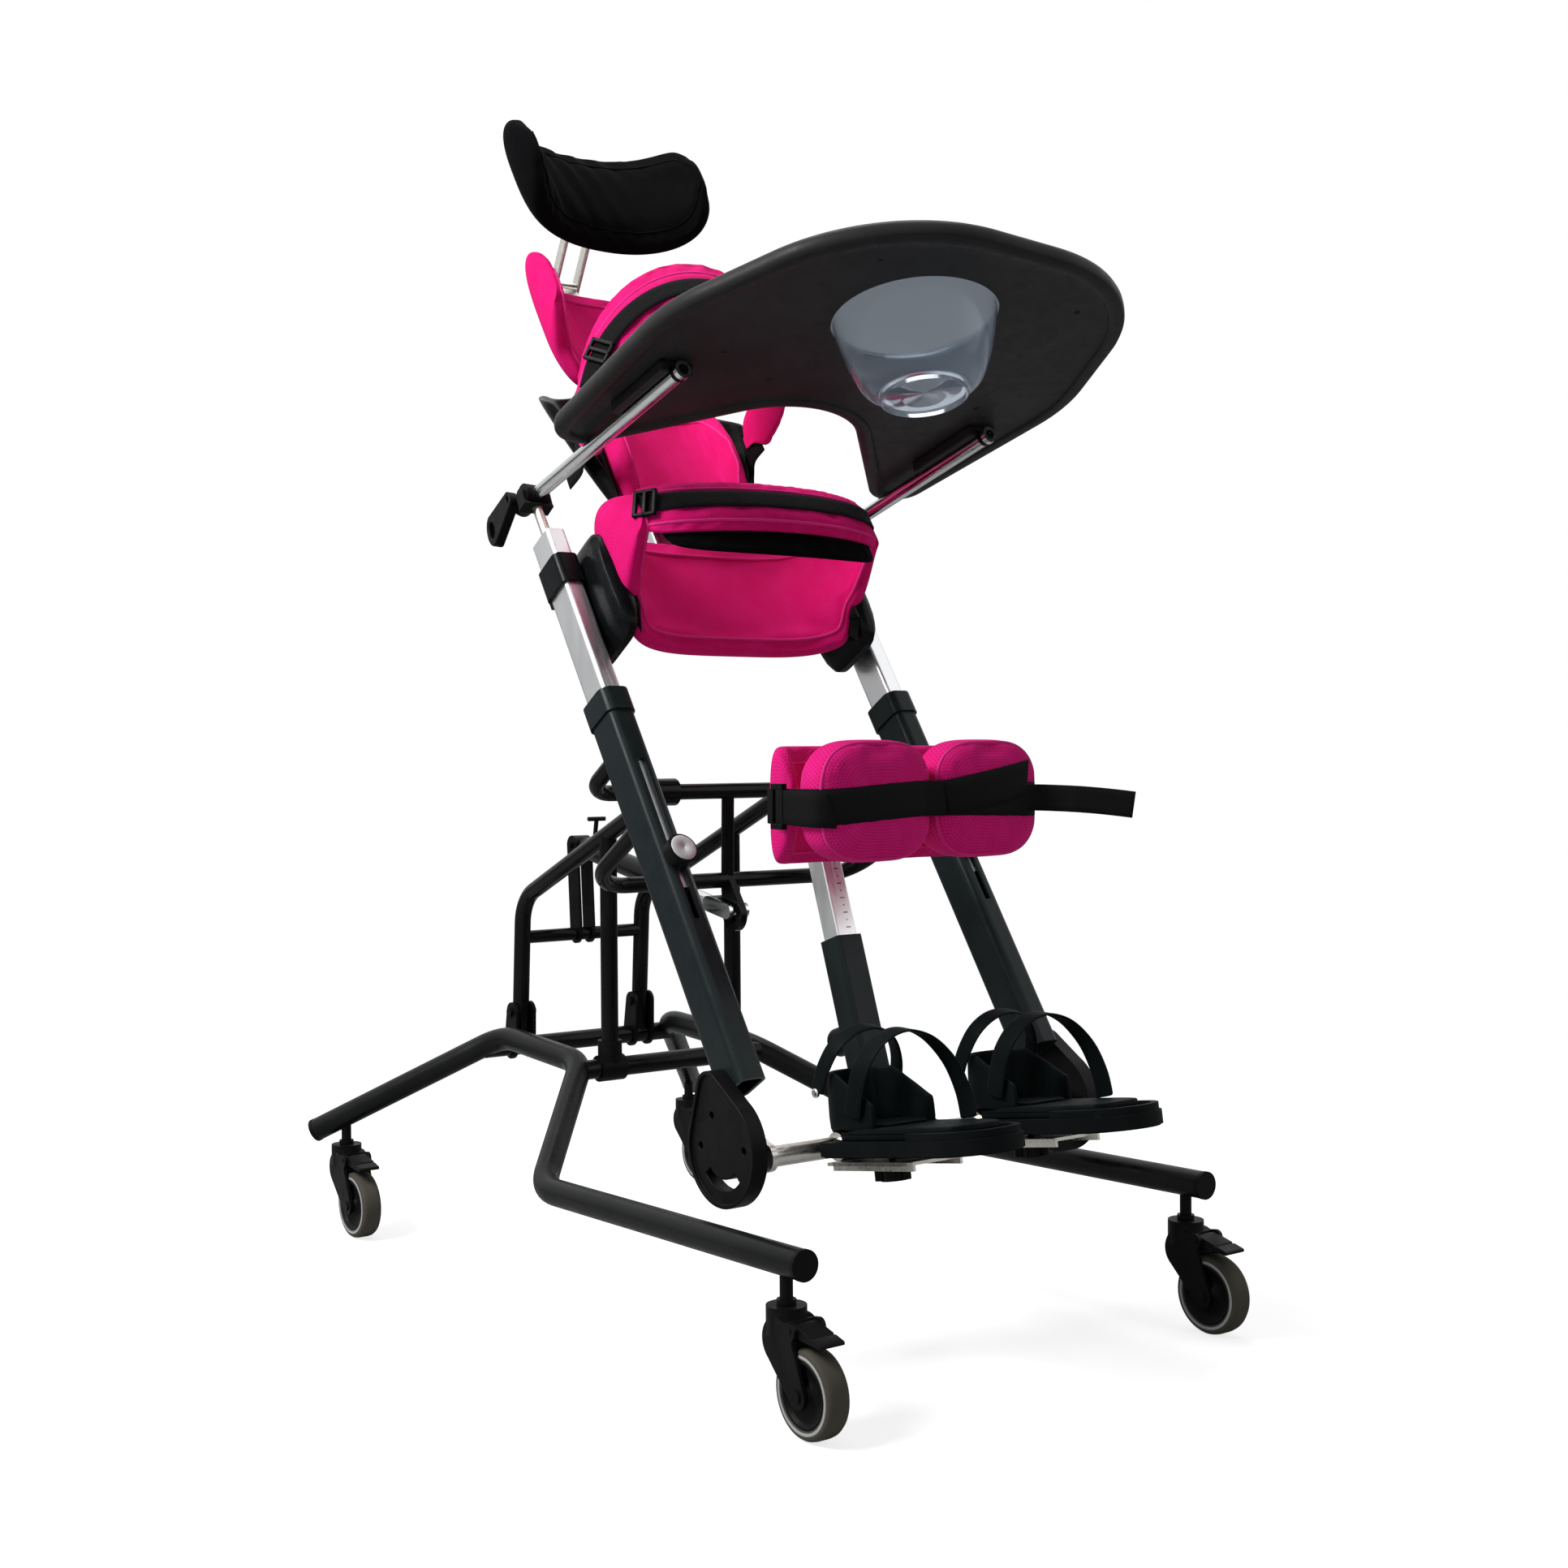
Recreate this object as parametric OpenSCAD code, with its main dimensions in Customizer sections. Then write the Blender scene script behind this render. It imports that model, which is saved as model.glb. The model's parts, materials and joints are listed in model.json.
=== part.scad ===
// Paediatric standing frame: a castered tube base with a tilting, telescoping body support.
// X runs across, with the user's left at +X. The user faces -Y. The floor is at Z = 0.

/* [Base] */
// Distance between the left and right caster stems
track = 644; // [600:2:700]
// Distance between the front and rear caster stems
wheelbase = 1152; // [1080:4:1220]
// How far the middle of the wheelbase lies behind the origin
base_mid_y = 40; // [20:1:60]
// Outside diameter of the side tubes
side_tube_d = 35; // [30:1:40]
// Outside diameter of the cross tubes
cross_tube_d = 28; // [24:1:32]
// Half the distance between the side tubes at the bridge
bridge_half = 150; // [140:1:170]
// Height of the bridge at its rear bend
bridge_rear_z = 312; // [300:1:330]
// Height of the bridge at its front bend
bridge_front_z = 298; // [285:1:315]
// Height of the front legs at the front end
front_leg_z = 186; // [180:1:200]
// Height of the rear legs over the caster stems
rear_leg_z = 182; // [176:1:190]

/* [Tower] */
// Half the distance between the tower posts
post_half = 109; // [100:1:118]
// Outside diameter of the tower tubes
tower_tube_d = 25; // [22:1:28]
// Place of the rear posts along Y
rear_post_y = 442; // [432:1:455]
// Place of the front posts along Y
front_post_y = 176; // [165:1:185]
// Height of the bend in the rear posts
tower_bend_z = 520; // [505:1:540]
// Place of the tilt pivot along Y
pivot_y = 29; // [15:1:45]
// Height of the tilt pivot
pivot_z = 690; // [680:1:710]

/* [Casters] */
// Diameter of the wheels
wheel_d = 100; // [92:1:104]
// Width of the wheels
wheel_w = 30; // [26:1:34]
// Distance of the axle in front of the stem
caster_trail = 46; // [42:1:50]

/* [Uprights] */
// Lean of the uprights back from vertical, in degrees
lean = 33; // [28:1:36]
// Half the distance between the uprights' axes
upright_half = 242; // [238:1:250]
// Length of the outer tubes
upright_len = 565; // [550:5:580]
// Depth of the outer tubes, front to back
upright_depth = 60; // [56:1:64]
// Width of the outer tubes
upright_width = 40; // [38:1:44]
// Wall of the outer tubes
upright_wall = 5; // [4:0.5:6]
// Distance of the uprights in front of the pivot
upright_ahead = 123; // [118:1:130]
// Distance of the outer tubes' top above the pivot, along the lean
rim_up = 69; // [60:1:80]
// Length of the inner tubes that shows above the outer tubes
inner_out = 268; // [262:1:276]

/* [Supports] */
// Distance from an upright's axis in to the middle of the pelvic pad's wing
pelvic_inside = 70; // [68:1:82]
// Height of the pelvic pad
pelvic_h = 185; // [170:1:190]
// Distance from an upright's axis in to the middle of the chest pad's wing
chest_inside = 78; // [72:1:92]
// Height of the chest pad
chest_h = 248; // [230:1:254]
// Half the width of the headrest, to the middle of its thickness
head_half = 148; // [140:1:156]
// Height of the headrest pad
head_h = 190; // [180:1:200]
// Half the width of a knee cushion
knee_half = 80; // [70:1:86]
// Height of the knee cushions
knee_h = 146; // [130:1:155]

/* [Tray] */
// Half the width of the tray
tray_half = 316; // [304:2:330]
// Rise of the tray towards the front, in degrees
tray_rise = 16; // [12:1:20]
// Distance from the clamps to the front edge of the tray
tray_front = 790; // [760:2:820]
// Diameter of the tray rods
rod_d = 20; // [18:1:22]
// How far the right clamp stands above the right inner tube
right_stem_out = 74; // [40:1:80]
// How far the left clamp stands above the left inner tube
left_stem_out = 26; // [25:1:60]
// Rim diameter of the bowl
bowl_d = 222; // [200:2:226]

/* [Foot support] */
// Pitch of the footplates, toes up, in degrees
foot_pitch = 9; // [4:1:14]
// Distance from an upright's axis in to the middle of a footplate
foot_inside = 129; // [117:1:137]
// Width of a footplate
foot_w = 124; // [116:1:130]
// Length of a footplate
foot_len = 262; // [250:2:290]
// Diameter of the foot bar
foot_bar_d = 25; // [22:1:28]
// Lean of the knee post back from vertical, in degrees
knee_lean = 19; // [15:1:21]

/* [Hidden] */
$fn = 48;
eps = 1;
run_clear = 0.05;
slide_clear = 0.4;
seat_gap = 0.3;
bend_draw = 0.05;
link_share = 0.996;

// Side tubes, corner points of the left one from the rear end to the front end
rear_overhang = 54;
front_overhang = 30;
bridge_rear_y = 419;
bridge_front_y = 189;
lower_bend_y = 2;
lower_bend_z = 172;
side_bend_r = 80;
front_stem_y = base_mid_y - wheelbase / 2;
rear_stem_y = base_mid_y + wheelbase / 2;
rear_bend = [bridge_half, bridge_rear_y, bridge_rear_z];
front_bend = [bridge_half, bridge_front_y, bridge_front_z];
lower_bend = [track / 2, lower_bend_y, lower_bend_z];
over_rear_stem = [track / 2, rear_stem_y, rear_leg_z];
rear_end = over_rear_stem + unit(over_rear_stem - rear_bend) * rear_overhang;
front_end = [track / 2, front_stem_y - front_overhang, front_leg_z];
side_path = [rear_end, rear_bend, front_bend, lower_bend, front_end];
cap_t = 5;
cap_lip = 1;

// Cross tubes, where the side tubes pass them
rear_cross = mix(rear_bend, over_rear_stem, rear_post_y);
front_cross = mix(front_bend, lower_bend, front_post_y);
rear_cross_drop = 6;
rear_cross_z = rear_cross[2] - rear_cross_drop;
front_cross_z = front_cross[2];

// Tower tubes, barrels, brackets and brace
post_set_in = 14;
tower_bend_r = 60;
barrel_d = 38;
barrel_w = 36;
pivot_bar_d = 22;
tower_top = [post_half, pivot_y, pivot_z];
tower_bend = [post_half, rear_post_y - post_set_in, tower_bend_z];
tower_foot = [post_half, rear_post_y, rear_cross_z];
tower_path = [tower_foot, tower_bend, tower_top];
brace_d = 20;
brace_drop = 60;
brace_z = tower_bend_z - brace_drop;
brace_y = tower_foot[1] - post_set_in * (brace_z - rear_cross_z) / (tower_bend_z - rear_cross_z);
saddle_wall = 5;
saddle_w = 40;
ear_t = 5;
ear_h = 54;
ear_r = 15;
bolt_d = 8;
bolt_head_d = 14;
bolt_head_h = 5;

// Casters
stem_d = 15;
stem_collar_d = 22;
stem_collar_h = 6;
stem_in = 18;
swivel_d = 46;
swivel_h = 9;
swivel_gap = 0.3;
fork_neck_z = 106;
fork_top_z = 128;
fork_clear = 2;
cheek_t = 5;
cheek_r = 14;
crown_r = 26;
crown_ahead = 10;
axle_d = 8;
axle_head_d = 14;
axle_head_h = 2;
hub_r = 37;
ring_r = 43;
ring_t = 2;
tyre_side = 4;
hub_boss_r = 12;
hub_dish = 5;
hub_rim = 4;
pedal_len = 46;
pedal_drop = 8;
pedal_tip_r = 2.5;
pedal_hub_r = 6.5;
pedal_pin_d = 6;
pedal_pin_ahead = 34;
pedal_pin_z = 118;
pedal_ear_r = 9;
pedal_room = 11;
pedal_groove = 2;
pedal_groove_share = 0.33;

// Tilting frame, in the leaning frame with the pivot at its origin
arm_in = 12;
arm_half = upright_half - arm_in;
pivot_arm_r = 36;
lower_bar_d = 22;
lower_bar_back = 71;
lower_bar_down = 105;
lower_arm_r = 60;
link_d = 18;
lug_t = 10;
lug_back = 8;
lug_drop = 46;
lug_r = 23;
lug_slot_w = 19;
lug_slot_h = 22;
lug_slot_r = 6;
lug_slot_back = 3.5;
lug_slot_down = 4.5;
inner_cavity_w = upright_width - 2 * upright_wall;
inner_cavity_d = upright_depth - 2 * upright_wall;
upright_corner = 12;
sleeve_h = 34;
sleeve_wall = 3;
knob_slot_w = 10;
knob_slot_top = 111;
knob_slot_len = 236;
knob_drop = 258;

// Side brackets, which hang below the outer tubes
bracket_t = 22;
bracket_big_r = 68;
bracket_small_r = 24;
bracket_back = 30;
bracket_drop = 63;
bracket_up = 8;
bracket_small_back = 14;
bracket_rim = 5;
bracket_pan = 4;
bracket_hole_d = 9;
bracket_hole_angles = [90, 151, -98];
bracket_hole_r_share = 0.66;
smile_r_share = 0.5;
smile_w = 13;
smile_angle = 95;
foot_pin_d = 16;
foot_pin_reach = 30;

// Actuator
actuator_rear_y = 440;
actuator_rear_z = 600;
actuator_pin_d = 10;
actuator_d = 34;
actuator_start = 24;
actuator_len = 236;
actuator_eye_r = 15;
actuator_eye_w = 18;
actuator_neck_d = 20;
actuator_rod_d = 16;
actuator_rod_in = 130;
actuator_bore_in = 30;
clevis_len = 58;
clevis_w = 34;
clevis_r = 11;
clevis_t = 7;
clevis_slot = 34;
release_d = 7;
release_h = 34;
release_bar = 30;
release_at = 44;

// Telescoping upper frame
inner_w = inner_cavity_w - 2 * slide_clear;
inner_d = inner_cavity_d - 2 * slide_clear;
inner_wall = 2.5;
inner_corner = 6;
inner_tail = 42;
inner_plug_h = 30;
knob_d = 42;
knob_t = 16;
knob_face_d = 36;
knob_face_t = 1.5;
knob_shaft_d = 8;
knob_gap = 1;
knob_clear = 4;
knob_bore_in = 10;

// Pelvic support, heights along the lean above the outer tubes' top
pad_t = 34;
pelvic_half = upright_half - pelvic_inside;
pelvic_z = 157;
pelvic_back = 2;
pelvic_reach = 138;
pelvic_dip_share = 0.12;
pad_end_share = 0.3;
shell_t = 7;
shell_gap = 0.5;
shell_margin = 8;
shell_end_share = 0.55;
pelvic_cover_share = 0.82;
pod_z = 154;
pod_h = 172;
pod_t = 40;
pod_rear = 44;
pod_front = 74;
pod_bite = 1.6;
band_h = 46;
band_wall = 5;
band_z = 200;
band_ear = 16;
belt_t = 16;
belt_gap = 0.2;
belt_sew_share = 0.88;
belt_arch_share = 0.7;
belt_end_share = 0.45;
pelvic_belt_h = 78;
pelvic_belt_z = 190;
pelvic_belt_rise = 4;
pelvic_belt_reach = 60;
pelvic_belt_tail = 50;
pelvic_belt_sink = 0.9;
strap_t = 2.4;
strap_w = 27;
strap_up = 16;
strap_span_share = 0.82;
buckle_share = -0.62;
buckle_turn_share = 0.02;
buckle_len = 36;
buckle_h = 40;
buckle_t = 10;

// Spine
spine_w = 40;
spine_d = 20;
spine_wall = 3;
spine_back = 60;
spine_low = 96;
spine_high = 700;
spine_corner = 5;
spacer_w = 60;
spacer_h = 70;

// Chest support
chest_half = upright_half - chest_inside;
chest_z = 406;
chest_back = 0;
chest_reach = 106;
chest_dip_share = 0.2;
chest_cover_share = 0.9;
upper_pad_half = 134;
upper_pad_h = 190;
upper_pad_z = 657;
upper_pad_reach = 80;
upper_end_share = 0.45;
chest_belt_h = 64;
chest_belt_z = 426;
chest_belt_rise = 142;
chest_belt_reach = 128;
chest_belt_tail = 34;
carriage_h = 90;
carriage_wall = 6;
back_plate_w = 90;
back_plate_t = 6;
back_plate_top = 715;

// Headrest
head_t = 48;
head_z = 890;
head_back = 70;
head_reach = 88;
head_dip_share = 0.12;
head_end_share = 0.5;
head_square_share = 0.9;
head_stem_low = 560;
head_hinge_z = 838;
head_knuckle_d = 20;
head_pin_d = 10;
head_ear_t = 6;
head_ear_r = 11;
head_plate_t = 6;
head_plate_w = 100;
head_plate_h = 76;

// Tray, in its own frame with the line between the clamps at its origin
tray_stem_d = 14;
tray_stem_in = 95;
yoke_t = 5;
yoke_base_t = 4;
yoke_depth = 20;
yoke_ear_r = 9;
trunnion_d = 8;
trunnion_in = 4;
clamp_d = 34;
clamp_w = 34;
collar_d = 30;
collar_back = 36;
lever_len = 58;
lever_hub_r = 8;
lever_t = 9;
lever_pin_d = 7;
lever_back = 27;
lever_loop_r = 15;
lever_loop_hole_r = 8;
lever_droop = 22;
rod_tail = 44;
rod_front = 405;
rod_plug_d = 23;
rod_plug_t = 7;
tray_lift = 4;
tray_recess = 4;
tray_panel_t = 5;
tray_rim_w = 22;
tray_rim_h = 24;
tray_tip_y = 144;
tray_cut_y = 354;
tray_cut_r = 120;
tray_corner_r = 230;
tray_corner_in = 40;
tray_tip_r = 44;
tray_tip_x = 256;
tray_waist_r = 260;
tray_waist_y = 450;
tray_hanger_len = 130;
tray_hanger_w = 46;
tray_hanger_start = 268;
bowl_x = -28;
bowl_y = 604;
bowl_depth = 104;
bowl_wall = 2.5;
bowl_lip = 9;
bowl_foot_d = 108;
bowl_foot_h = 6;
bowl_gap = 1.2;
bowl_side_share = 0.88;

// Foot support, in its own frame with the foot bar's axis at its origin
foot_half = upright_half - foot_inside;
bar_below_pin = 25;
bar_ahead_pin = 25;
swing_t = 8;
swing_r = 22;
bar_clear = 3;
plate_top = 9;
plate_h = 26;
plate_skin = 6;
plate_wall = 4;
plate_rib_t = 3;
plate_rib_step = 30;
plate_edge = 3;
kerb_h = 9;
kerb_w = 9;
kerb_share = 0.4;
carrier_w = 76;
carrier_len = 150;
carrier_t = 4;
carrier_ring_w = 44;
carrier_wall = 5;
foot_slot_w = 10;
foot_travel = 45;
stud_d = 8;
stud_y = 78;
stud_boss_d = 20;
stud_grip = 14;
star_d = 46;
star_h = 20;
star_lobes = 5;
star_lobe_share = 0.3;

// Sandals
sole_w = 98;
sole_len = 226;
sole_t = 9;
heel_pad_t = 7;
heel_pad_len = 80;
heel_back = 6;
heel_wall = 5;
heel_h = 76;
heel_side_len = 62;
heel_slope = 28;
strap_leg_sink = 4;
arch_y = 138;
arch_rise = 66;
arch_w = 30;
arch_t = 3;
arch_r = 47;
ankle_y = 62;
ankle_w = 22;
ankle_rise = 34;

// Knee post, in its own frame along the post
knee_foot_y = 88;
knee_foot_z = 25;
knee_outer = 42;
knee_outer_wall = 4.5;
knee_outer_len = 221;
knee_corner = 6;
knee_inner_wall = 3;
knee_inner = knee_outer - 2 * knee_outer_wall - 2 * slide_clear;
knee_inner_tail = 110;
knee_inner_top = 452;
knee_ring_w = 40;
knee_ring_wall = 6;
knee_knob_d = 38;
knee_knob_t = 30;
knee_knob_up = 92;
knee_knob_shaft = 8;

// Knee support, upright above the floor
knee_pad_up = 419.5;
knee_back_in = 105;
knee_back_t = 30;
knee_back_h = 148;
knee_back_half = 66;
knee_back_reach = 44;
knee_back_end_share = 0.5;
knee_apart = 6;
knee_back_x = knee_back_half + knee_back_t / 2 + knee_apart;
knee_front_x = knee_half + knee_apart;
knee_front_out = 5;
knee_front_t = 70;
knee_plate_w = 220;
knee_plate_h = 44;
knee_plate_t = 8;
knee_arm_w = 32;
knee_arm_h = 40;
knee_strap_w = 40;
knee_strap_t = 2.4;
knee_strap_gap = 0.5;
knee_strap_start = 12;
knee_sew_share = 0.92;
knee_strap_turns = 4;
knee_tail_steps = 6;
knee_tail_len = 118;
knee_tail_turn = -43;
knee_tail_sag = 10;
knee_buckle_len = 34;
knee_buckle_h = 52;
knee_buckle_t = 9;
knee_buckle_ahead = 62;

// Shape of soft sections and curves
soft_ring = 16;
soft_stations = 20;
cushion_rows = 14;
square_share = 0.62;
round_share = 0.8;
shell_round_share = 0.35;
end_power = 6;
row_power = 4;
crown_share = 0.14;
waist_share = 0.28;
thin_share = 0.3;

// Vectors and frames

function unit(v) = v / norm(v);
function mix(a, b, y) = a + (b - a) * (y - a[1]) / (b[1] - a[1]);
function flip(p) = [-p[0], p[1], p[2]];
function spow(v, p) = sign(v) * pow(abs(v), p);
function side_of(left) = left ? 1 : -1;

// Places its children at p, with their axes along x, y and z
module frame_to(p, x, y, z) {
    multmatrix([[x[0], y[0], z[0], p[0]], [x[1], y[1], z[1], p[1]], [x[2], y[2], z[2], p[2]], [0, 0, 0, 1]])
        children();
}

// Round bar from a to b
module rod(a, b, d) {
    z = unit(b - a);
    x = unit(cross(abs(z[0]) < abs(z[1]) ? [1, 0, 0] : [0, 1, 0], z));
    frame_to(a, x, cross(z, x), z) cylinder(d = d, h = norm(b - a));
}

// Round bar bent to radius r at each inner corner of a path; the bends draw in a little
module bent_rod(path, r, d) {
    last = len(path) - 1;
    dirs = [for (i = [0 : last - 1]) unit(path[i + 1] - path[i])];
    turns = [for (i = [1 : last - 1]) acos(dirs[i - 1] * dirs[i])];
    cuts = [0, for (t = turns) r * tan(t / 2) - eps, 0];
    for (i = [0 : last - 1])
        rod(path[i] + dirs[i] * cuts[i], path[i + 1] - dirs[i] * cuts[i + 1], d);
    for (i = [1 : last - 1]) {
        start = path[i] - dirs[i - 1] * (cuts[i] + eps);
        middle = path[i] + unit(dirs[i] - dirs[i - 1]) * r / cos(turns[i - 1] / 2);
        x = unit(start - middle);
        frame_to(middle, x, dirs[i - 1], cross(x, dirs[i - 1]))
            rotate_extrude(angle = turns[i - 1]) translate([r, 0]) circle(d = d - 2 * bend_draw);
    }
}

// Rectangle with true round corners, about the origin
module round_rect(w, d, r) {
    square([w - 2 * r, d], center = true);
    square([w, d - 2 * r], center = true);
    for (x = [-1, 1], y = [-1, 1])
        translate([x * (w / 2 - r), y * (d / 2 - r)]) circle(r = r);
}

// Two circles joined by their outer tangents, which are drawn in a little
module tapered_link(a, ra, b, rb) {
    turn = atan2(b[1] - a[1], b[0] - a[0]);
    swing = acos((ra - rb) / norm(b - a));
    function rim(c, r, s) = c + link_share * r * [cos(turn + s * swing), sin(turn + s * swing)];
    translate(a) circle(r = ra);
    translate(b) circle(r = rb);
    polygon([rim(a, ra, 1), a, rim(a, ra, -1), rim(b, rb, -1), b, rim(b, rb, 1)]);
}

// Plate of thickness t from x0 along +X, with its outline drawn in Y and Z
module side_plate(x0, t) {
    translate([x0, 0, 0]) rotate([90, 0, 90]) linear_extrude(t) children();
}

// Cylinder along +X from the point p
module cross_pin(p, d, h) {
    translate(p) rotate([0, 90, 0]) cylinder(d = d, h = h);
}

// Box between two corners
module box(a, b) {
    translate(a) cube(b - a);
}

// Leaning frame: origin on the pivot, +Z up the uprights, -Y to the front
module leaning() {
    translate([0, pivot_y, pivot_z]) rotate([-lean, 0, 0]) children();
}

// Point at height z above the outer tubes' top and n in front of the uprights' axes
function lean_at(x, n, z) = [x, -upright_ahead - n, rim_up + z];
function lean_to_world(p) = [p[0], pivot_y + p[1] * cos(lean) + p[2] * sin(lean),
    pivot_z - p[1] * sin(lean) + p[2] * cos(lean)];

foot_pin_lean = [0, -upright_ahead + bracket_back, rim_up - upright_len - bracket_drop];
foot_bar_lean = foot_pin_lean + [0, -bar_ahead_pin, -bar_below_pin];
foot_bar_at = lean_to_world(foot_bar_lean);

// Knee support, placed from the foot bar
knee_pad_z = foot_bar_at[2] + knee_pad_up;
knee_back_y = -foot_bar_at[1] - knee_back_in;
knee_front_y = -foot_bar_at[1] + knee_front_out;
knee_strap_back = knee_back_y + knee_strap_start;
knee_buckle_y = knee_back_y + knee_buckle_ahead;
upright_face = upright_half + upright_width / 2;
upright_rear = -upright_ahead + upright_depth / 2;

// Foot frame: origin on the foot bar's axis, -Y to the toes
module footing() {
    translate(foot_bar_at) rotate([-foot_pitch, 0, 0]) children();
}

// Knee frame: origin at the foot of the post, +Z up the post
module kneeing() {
    translate(foot_bar_at + [0, knee_foot_y, knee_foot_z]) rotate([-knee_lean, 0, 0]) children();
}

// Tray frames: origin midway between the clamps, first only rolled, then also raised to the front
clamp_z_right = inner_out + right_stem_out;
clamp_z_left = inner_out + left_stem_out;
tray_roll = atan((clamp_z_right - clamp_z_left) / (2 * upright_half));
clamp_half = upright_half / cos(tray_roll);
module rolled() {
    leaning() translate(lean_at(0, 0, (clamp_z_right + clamp_z_left) / 2)) rotate([0, tray_roll,
        0]) children();
}
module tray_frame() {
    rolled() rotate([lean - tray_rise, 0, 0]) children();
}

// Soft sections: closed rings swept along a curve in plan

function soft_section(p) = [for (j = [0 : soft_ring - 1])
    let (a = 360 * (j + 1 / 2) / soft_ring) [spow(cos(a), p), spow(sin(a), p)]];
strap_section = [for (j = [0 : 3]) [sign(cos(45 + 90 * j)), sign(sin(45 + 90 * j))]];

// Triangles between the rings of a tube and over its two ends
function tube_faces(rings, n) = concat(
    [for (i = [0 : rings - 2], j = [0 : n - 1]) let (k = (j + 1) % n)
        [i * n + j, (i + 1) * n + j, (i + 1) * n + k]],
    [for (i = [0 : rings - 2], j = [0 : n - 1]) let (k = (j + 1) % n)
        [i * n + j, (i + 1) * n + k, i * n + k]],
    [for (j = [1 : n - 2]) [0, j, j + 1]],
    [for (j = [1 : n - 2]) let (o = (rings - 1) * n) [o, o + j + 1, o + j]]);

// Directions square to a path in plan, one a point
function squares(path) = [for (i = [0 : len(path) - 1])
    let (d = path[min(len(path) - 1, i + 1)] - path[max(0, i - 1)]) unit([-d[1], d[0], 0])];

// Band of one section, with its half thickness and half height given for each point of the path
module soft_band(path, thicks, heights, section) {
    sides = squares(path);
    points = [for (i = [0 : len(path) - 1], q = section)
        path[i] + sides[i] * q[0] * thicks[i] + [0, 0, q[1] * heights[i]]];
    polyhedron(points, tube_faces(len(path), len(section)));
}

// End taper: full in the middle, drawn in to a share at both ends
function taper(t, least_share) = least_share
    + (1 - least_share) * sqrt(max(0, 1 - pow(abs(t), end_power)));

stations = [for (i = [0 : soft_stations]) -1 + 2 * i / soft_stations];

// Point of a U in plan at t from -1 to 1: half width w, reaching forward from the back of the U
function u_point(t, w, reach, turn_share) = [w * spow(sin(90 * t), turn_share),
    -reach * (1 - spow(cos(90 * t), turn_share)), 0];

// Distance out to the side of a pad's wing, at a share of the way round to its end
function wing_out(w, t, way_share, least_share) = w * spow(sin(90 * way_share), square_share)
    + t / 2 * taper(way_share, least_share);

// U-shaped pad with a crowned section, lower at the wings by the dip share
module u_pad(w, reach, t, h, dip_share, least_share, turn_share = square_share) {
    soft_band([for (s = stations) u_point(s, w, reach, turn_share)],
        [for (s = stations) t / 2 * taper(s, least_share)],
        [for (s = stations) h / 2 * (1 - dip_share * s * s) * taper(s, least_share)],
        soft_section(round_share));
}

// U-shaped moulded shell round the back and sides of such a pad
module u_shell(w, reach, t, h, cover_share) {
    soft_band([for (s = stations) u_point(s * cover_share, w, reach, square_share)],
        [for (s = stations) t / 2],
        [for (s = stations) h / 2 * taper(s, shell_end_share)],
        soft_section(shell_round_share));
}

// Belt in plan: an arch to the front, rising on its way, with a straight tail at each end
function belt_point(t, w, reach, tail, rise) = let (a = min(1, abs(t) / belt_arch_share) * 90 * sign(t))
    abs(t) < belt_arch_share ? [w * sin(a), -reach * cos(a), rise * cos(a)]
    : [w * sign(t), tail * (abs(t) - belt_arch_share) / (1 - belt_arch_share), 0];

module belt(w, reach, tail, rise, h) {
    color("deeppink") soft_band([for (s = stations) belt_point(s, w, reach, tail, rise)],
        [for (s = stations) belt_t / 2],
        [for (s = stations) h / 2 * taper(s, belt_end_share)], soft_section(round_share));
    out = belt_t / 2 + strap_t / 2 + seat_gap;
    run = [for (s = stations) belt_point(s * strap_span_share, w + out, reach + out, tail, rise) + [0, 0,
        strap_up]];
    color("black") soft_band(run, [for (s = stations) strap_t / 2], [for (s = stations) strap_w / 2],
        strap_section);
    at = belt_point(buckle_share, w + out, reach + out, tail, rise);
    step = belt_point(buckle_share + buckle_turn_share, w + out, reach + out, tail, rise) - at;
    color("black") translate(at + [0, 0, strap_up]) rotate([0, 0, atan2(step[1], step[0])])
        box([-buckle_len / 2, -buckle_t, -buckle_h / 2], [buckle_len / 2, -strap_t / 2, buckle_h / 2]);
}

// Cushion with crowned faces and sides drawn in towards its corners
module cushion(w, d, h) {
    rows = [for (i = [0 : cushion_rows]) -1 + 2 * i / cushion_rows];
    function swell(s) = sqrt(max(0, 1 - pow(abs(s), row_power)));
    points = [for (s = rows, q = soft_section(round_share)) [
        w / 2 * q[0] * (1 - waist_share * (1 - swell(s))),
        d / 2 * q[1] * (thin_share + (1 - thin_share) * swell(s)) * (1 - crown_share * q[0] * q[0]),
        h / 2 * s]];
    polyhedron(points, tube_faces(len(rows), soft_ring));
}

// Base

module side_tube(left) {
    color("black") bent_rod(left ? side_path : [for (p = side_path) flip(p)], side_bend_r, side_tube_d);
}

module rear_cross_rod() rod([-rear_cross[0], rear_post_y, rear_cross_z], [rear_cross[0], rear_post_y,
    rear_cross_z],
    cross_tube_d);
module front_cross_rod() rod([-front_cross[0], front_post_y, front_cross_z],
    [front_cross[0], front_post_y, front_cross_z], cross_tube_d);

module base_cross_tubes() color("black")
    for (rear = [true, false]) difference() {
        if (rear) rear_cross_rod(); else front_cross_rod();
        side_tube(true);
        side_tube(false);
    }

module tower_tube(left) {
    path = left ? tower_path : [for (p = tower_path) flip(p)];
    barrel = [path[0][0] - barrel_w / 2, pivot_y, pivot_z];
    color("black") difference() {
        union() {
            bent_rod(path, tower_bend_r, tower_tube_d);
            cross_pin(barrel, barrel_d, barrel_w);
        }
        cross_pin(barrel - [eps, 0, 0], pivot_bar_d + 2 * run_clear, barrel_w + 2 * eps);
        rear_cross_rod();
    }
}

module tower_tubes() {
    tower_tube(true);
    tower_tube(false);
}

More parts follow.
